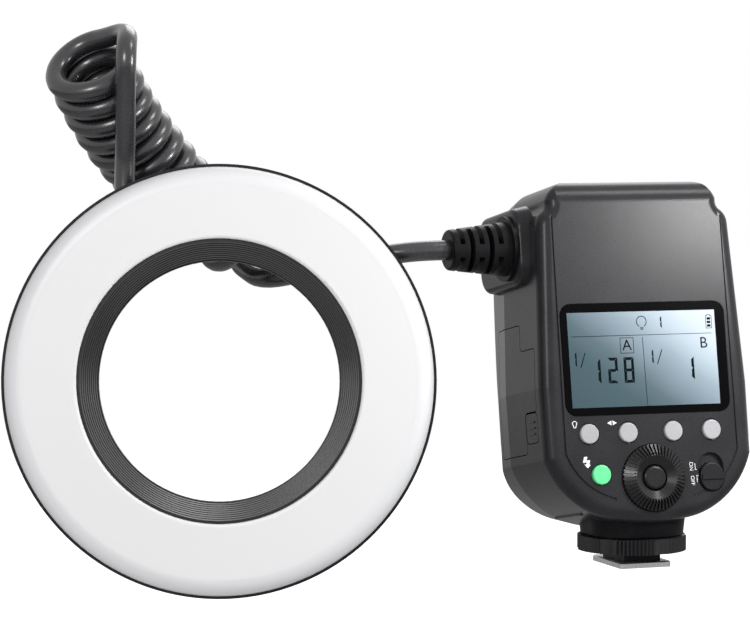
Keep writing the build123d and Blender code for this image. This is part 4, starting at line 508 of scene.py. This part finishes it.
stroke(shown_figures, [(-0.02663, 0.07962), (0.02509, 0.07970)], RULE_WIDTH)
stroke(shown_figures, [(-0.00061, 0.07900), (-0.00035, 0.05610)], RULE_WIDTH)
stroke(shown_figures, [(-0.00887, 0.07370), (-0.00406, 0.07370), (-0.00406, 0.07883),
                       (-0.00887, 0.07883)], 0.00020, closed=True)
# Lamp sign: a globe and the three bars of its cap
stroke(shown_figures, arc((-0.0006, 0.0842), 0.0018, -62, 242, 22), 0.00026)
for bar in range(3):
    slab(shown_figures, [(-0.00125 + bar * 0.00008, 0.0823 - bar * 0.00036),
                         (0.00005 - bar * 0.00008, 0.0823 - bar * 0.00036),
                         (0.00005 - bar * 0.00008, 0.0821 - bar * 0.00036),
                         (-0.00125 + bar * 0.00008, 0.0821 - bar * 0.00036)])
# Battery sign: a standing cell with its charge bars
stroke(shown_figures, [(0.02325, 0.08140), (0.02535, 0.08140), (0.02535, 0.08560), (0.02480, 0.08560),
                       (0.02480, 0.08595), (0.02380, 0.08595), (0.02380, 0.08560), (0.02325, 0.08560)],
       0.00018, closed=True)
for bar in range(3):
    slab(shown_figures, [(0.02365, 0.08185 + bar * 0.0012), (0.02495, 0.08185 + bar * 0.0012),
                         (0.02495, 0.08265 + bar * 0.0012), (0.02365, 0.08265 + bar * 0.0012)])
printed("display_figures", shown_figures, crystal)
lettering("display_letter_a", "A", 0.0052, (-0.00647, 0.07625), 0, crystal)
lettering("display_letter_b", "B", 0.0053, (0.02185, 0.07635), 0, crystal)


# Buttons: four pale round caps under the display and a lit one beside the dial, each on its own flange.
# Moulded ABS caps, polished on top, and a translucent mint cap over a green lamp.
button_abs = moulded("polished_abs_light_grey", "#a4a4a7", "#aeaeb1", 0.33, 0.0008, 0.00001, specular=0.25)
button_mint = moulded("translucent_mint_acrylic", "#64dc92", "#74e6a0", 0.3, 0.0008, 0.00001, specular=0.25)
dress(button_abs, "button_left_outer", "button_left_inner", "button_right_inner", "button_right_outer")
dress(button_mint, "test_button")
# Signs beside the buttons: pad printed white ink, slightly raised and satin
panel_ink = moulded("pad_printed_white_ink", "#e6e6e6", "#f0f0f0", 0.45, 0.0004, 0.000005)
signs = bmesh.new()
stroke(signs, arc((-0.0274, 0.05065), 0.00078, -48, 228, 20) + [(-0.02775, 0.0493), (-0.02705, 0.0493)],
       0.00024, closed=True)
slab(signs, [(-0.01560, 0.05045), (-0.01405, 0.04965), (-0.01405, 0.05125)])
slab(signs, [(-0.01360, 0.04965), (-0.01205, 0.05045), (-0.01360, 0.05125)])
slab(signs, [(u / 10000, v / 10000) for u, v in (
    (-248, 395), (-236, 394), (-240.5, 383.5), (-226, 383), (-231, 370), (-226, 367), (-237, 356.5),
    (-248, 369), (-242, 370), (-238, 375.5), (-253, 375.5))])


# Dial and its set button: a ribbed ring that turns on an encoder, with a domed button in its middle.
# Moulded black acetal. Its ribs stay polished, so their crests catch the light.
dial_acetal = moulded("polished_acetal_black", "#0d0d0e", "#171719", 0.28, 0.0006, 0.00001, specular=0.32)
dome_acetal = moulded("satin_acetal_black", "#131315", "#1e1e20", 0.28, 0.0006, 0.00001, specular=0.22)
dress(dial_acetal, "dial")
dress(dome_acetal, "set_button")


# Power switch: a sliding knob with a finger bar, over a floor in the panel, marked ON and OFF beside it.
# The knob is satin ABS like the case and a shade darker. The words are printed with the signs.
knob_abs = moulded("satin_abs_knob", "#141416", "#202022", 0.34, 0.0005, 0.00001, specular=0.18)
dress(knob_abs, "power_slider")
stroke(signs, [(0.01552, 0.03585), (0.01556, 0.03375), (0.01608, 0.03372)], 0.00018)
stroke(signs, [(0.01645, 0.03175), (0.01592, 0.03170), (0.01602, 0.02950)], 0.00018)
printed("panel_signs", signs, panel_ink)
lettering("word_on", "ON", 0.0019, (0.01405, 0.03490), -90, panel_ink)
lettering("word_off", "OFF", 0.0019, (0.01430, 0.03010), -90, panel_ink)


# Boards and what is soldered on them, inside the case. Glass epoxy with a green solder mask,
# black epoxy switch bodies and a plated tray: satin surfaces with faint weave and flow marks.
board_epoxy = moulded("green_solder_mask", "#1a5034", "#22633f", 0.35, 0.0007, 0.00001)
part_epoxy = moulded("moulded_epoxy_dark", "#323336", "#424347", 0.45, 0.0005, 0.00002)
tinned_steel = moulded("tinned_steel", "#a9abad", "#bcbec0", 0.32, 0.0008, 0.00001, metallic=1.0)
capacitor_sleeve = moulded("shrink_sleeve_black", "#212125", "#2e2e33", 0.3, 0.001, 0.00001)
gilt = moulded("gold_plated_bronze", "#cfab5a", "#e0bf74", 0.25, 0.0005, 0.00001, metallic=1.0)
dress(board_epoxy, "control_board", "main_board", "lamp_board", "ring_board")
dress(part_epoxy, "tact_switches", "encoder", "slide_switch", "transformer", "sync_jack")
dress(tinned_steel, "usb_port")
dress(capacitor_sleeve, "flash_capacitor")
dress(gilt, "battery_contacts", "shoe_contacts")


# Battery pack with its stepped end flush in the side, its latch, and the cover over the ports.
# The pack and latch are moulded with the case and match it. The port cover is soft rubber.
dress(case_abs, "battery_pack", "battery_latch")
dress(boot_rubber, "port_cover")


# Shoe foot: metal plate, plastic block and lock pin, ribbed lock wheel and the collar over them.
# The plate is stamped stainless steel, tumbled to a soft shine. The wheel and the darker collar are ABS.
foot_steel = moulded("tumbled_stainless_steel", "#bebec2", "#cfcfd2", 0.3, 0.0006, 0.00001, metallic=1.0)
block_nylon = moulded("glass_filled_nylon_black", "#131315", "#1c1c1e", 0.5, 0.0005, 0.00002, specular=0.15)
wheel_abs = moulded("dull_abs_wheel", "#19191b", "#232325", 0.36, 0.0005, 0.00002, specular=0.3)
collar_abs = moulded("satin_abs_collar", "#0c0c0e", "#151517", 0.38, 0.0005, 0.00001, specular=0.09)
dress(foot_steel, "foot_plate", "lock_pin")
dress(block_nylon, "shoe_block")
dress(wheel_abs, "lock_wheel")
dress(collar_abs, "shoe_collar")


# Ring head, back half: a moulded housing with two spring latches that grip the lens adapter.
# Black ABS with the case's grain. Each latch has a row of finger ribs on its outer face.
RING_CENTRE = (-0.14635, 0.00071, 0.06641)
RING_YAW = 17.74
RING_TILT = 4.94
LATCH_FACE = 0.0626
LATCH_LEVEL = -0.02125
LATCH_RIBS = 7
RIB_STEP = 0.0016
RIB_RADIUS = 0.00042
RIB_LENGTH = 0.0038
ring_place = (Matrix.Translation(RING_CENTRE) @ Matrix.Rotation(math.radians(-RING_YAW), 4, "Z")
              @ Matrix.Rotation(math.radians(90 - RING_TILT), 4, "X"))
ring_abs = moulded("spark_eroded_abs_black", "#151517", "#202022", 0.4, 0.00045, 0.00002, specular=0.18)
dress(ring_abs, "ring_housing", "ring_latch_left", "ring_latch_right")

rib_tree = bpy.data.node_groups.new("finger_ribs", "GeometryNodeTree")
for socket_name, kind in (("Ribs", "NodeSocketInt"), ("Step", "NodeSocketFloat"),
                          ("Radius", "NodeSocketFloat"), ("Length", "NodeSocketFloat"),
                          ("Material", "NodeSocketMaterial")):
    rib_tree.interface.new_socket(socket_name, in_out="INPUT", socket_type=kind)
rib_tree.interface.new_socket("Geometry", in_out="OUTPUT", socket_type="NodeSocketGeometry")
given = add_node(rib_tree, "NodeGroupInput")
step_vector = add_node(rib_tree, "ShaderNodeCombineXYZ", Y=given.outputs["Step"])
rib_line = add_node(rib_tree, "GeometryNodeMeshLine", Count=given.outputs["Ribs"],
                    Offset=step_vector.outputs[0])
one_rib = add_node(rib_tree, "GeometryNodeMeshCylinder", Vertices=16, Radius=given.outputs["Radius"],
                   Depth=given.outputs["Length"])
ribs_set = add_node(rib_tree, "GeometryNodeInstanceOnPoints", Points=rib_line.outputs[0],
                    Instance=one_rib.outputs[0])
ribs_real = add_node(rib_tree, "GeometryNodeRealizeInstances", Geometry=ribs_set.outputs[0])
ribs_done = add_node(rib_tree, "GeometryNodeSetMaterial", Geometry=ribs_real.outputs[0],
                     Material=given.outputs["Material"])
add_node(rib_tree, "NodeGroupOutput", Geometry=ribs_done.outputs[0])
rib_sizes = {"Ribs": LATCH_RIBS, "Step": RIB_STEP, "Radius": RIB_RADIUS, "Length": RIB_LENGTH,
             "Material": ring_abs}
for side_name, side in (("left", -1), ("right", 1)):
    ribs = lay_out(bpy.data.objects.new("latch_ribs_" + side_name + "_tree",
                                        bpy.data.meshes.new("latch_ribs_" + side_name + "_tree")))
    modifier = ribs.modifiers.new("finger_ribs", "NODES")
    modifier.node_group = rib_tree
    for item in rib_tree.interface.items_tree:
        if item.in_out == "INPUT":
            modifier[item.identifier] = rib_sizes[item.name]
    rib_mesh = evaluated_mesh(ribs)
    bpy.data.objects.remove(ribs)
    rib_mesh.transform(ring_place @ Matrix.Translation(
        (side * LATCH_FACE, -RIB_STEP * (LATCH_RIBS - 1) / 2, LATCH_LEVEL)))
    latch_ribs = lay_out(bpy.data.objects.new("latch_ribs_" + side_name, rib_mesh))
    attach(latch_ribs, "ring_latch_" + side_name)


# Ring head, front: the opal diffuser and the dark baffle that lines its hole.
# Opal acrylic, satin etched: nearly white, with painted shade that greys it round its rolled rim
# and at the edge of its hole. The baffle is matt black with turned grooves that stop stray light.
OPAL_INNER_R = 0.0445
OPAL_OUTER_R = 0.0705
# Painted shade: the opal greys towards its hole and its rolled rim, by radius from the ring's axis
OPAL_SHADE_TONES = [(0.0, "#e2e2e4"), (0.10, "#f1f1f2"), (0.74, "#f1f1f2"), (0.88, "#ebebed"), (1.0, "#dadadc")]
CLOUD_SCALE = 25.0
CLOUD_SHIFT = 0.0008
ETCHING_SCALE = 1600.0
opal = bpy.data.materials.new("etched_opal_acrylic")
opal.use_nodes = True
opal.node_tree.nodes.clear()
opal_tree = opal.node_tree
opal_place = add_node(opal_tree, "ShaderNodeTexCoord")
opal_shift = add_node(opal_tree, "ShaderNodeVectorMath", {"operation": "SUBTRACT"},
                      _0=opal_place.outputs["Object"], _1=RING_CENTRE)
opal_along = add_node(opal_tree, "ShaderNodeVectorMath", {"operation": "DOT_PRODUCT"},
                      _0=opal_shift.outputs[0], _1=tuple(ring_place.to_3x3() @ Vector((0, 0, 1))))
opal_level = add_node(opal_tree, "ShaderNodeVectorMath", {"operation": "SCALE"},
                      _0=tuple(ring_place.to_3x3() @ Vector((0, 0, 1))),
                      Scale=opal_along.outputs["Value"])
opal_flat = add_node(opal_tree, "ShaderNodeVectorMath", {"operation": "SUBTRACT"},
                     _0=opal_shift.outputs[0], _1=opal_level.outputs[0])
opal_radius = add_node(opal_tree, "ShaderNodeVectorMath", {"operation": "LENGTH"},
                       _0=opal_flat.outputs[0])
opal_cloud = add_node(opal_tree, "ShaderNodeTexNoise", Vector=opal_place.outputs["Object"],
                      Scale=CLOUD_SCALE, Detail=2.0)
opal_sum = add_node(opal_tree, "ShaderNodeMath", {"operation": "MULTIPLY_ADD"}, _0=opal_cloud.outputs[0],
                    _1=CLOUD_SHIFT, _2=opal_radius.outputs["Value"])
opal_share = add_node(opal_tree, "ShaderNodeMapRange", Value=opal_sum.outputs[0],
                      From_Min=OPAL_INNER_R, From_Max=OPAL_OUTER_R)
opal_shade_tones = add_node(opal_tree, "ShaderNodeValToRGB", Fac=opal_share.outputs[0])
fill_ramp(opal_shade_tones, OPAL_SHADE_TONES)
opal_grain = add_node(opal_tree, "ShaderNodeTexNoise", Vector=opal_place.outputs["Object"],
                      Scale=ETCHING_SCALE, Detail=1.0)
opal_bump = add_node(opal_tree, "ShaderNodeBump", Height=opal_grain.outputs[0], Strength=0.3,
                     Distance=0.00001)
opal_face = add_node(opal_tree, "ShaderNodeBsdfPrincipled", Base_Color=opal_shade_tones.outputs[0],
                     Roughness=0.42, Normal=opal_bump.outputs[0])
add_node(opal_tree, "ShaderNodeOutputMaterial", Surface=opal_face.outputs[0])
dress(opal, "ring_diffuser")
baffle_black = moulded("matt_black_turned_baffle", "#1f1f21", "#2b2b2d", 0.36, 0.0005,
                        0.00001, specular=0.25)
dress(baffle_black, "ring_baffle")


# Lamps behind the diffuser: a bright tray with two curved flash tubes and four focusing lamps.
# Anodised aluminium sheet, clear quartz tubes with metal ends, and clear epoxy lamps.
tray_aluminium = moulded("bright_anodised_aluminium", "#d6d7da", "#e4e5e7", 0.18, 0.001,
                          0.000005, metallic=1.0)
quartz = moulded("clear_quartz_glass", "#d8e2e6", "#e6edf0", 0.08, 0.002, 0.000001)
lamp_epoxy = moulded("clear_lamp_epoxy", "#eeead2", "#f6f3e2", 0.12, 0.002, 0.000001)
dress(tray_aluminium, "ring_reflector")
dress(quartz, "flash_tube_left", "flash_tube_right")
dress(lamp_epoxy, "focus_lamps")
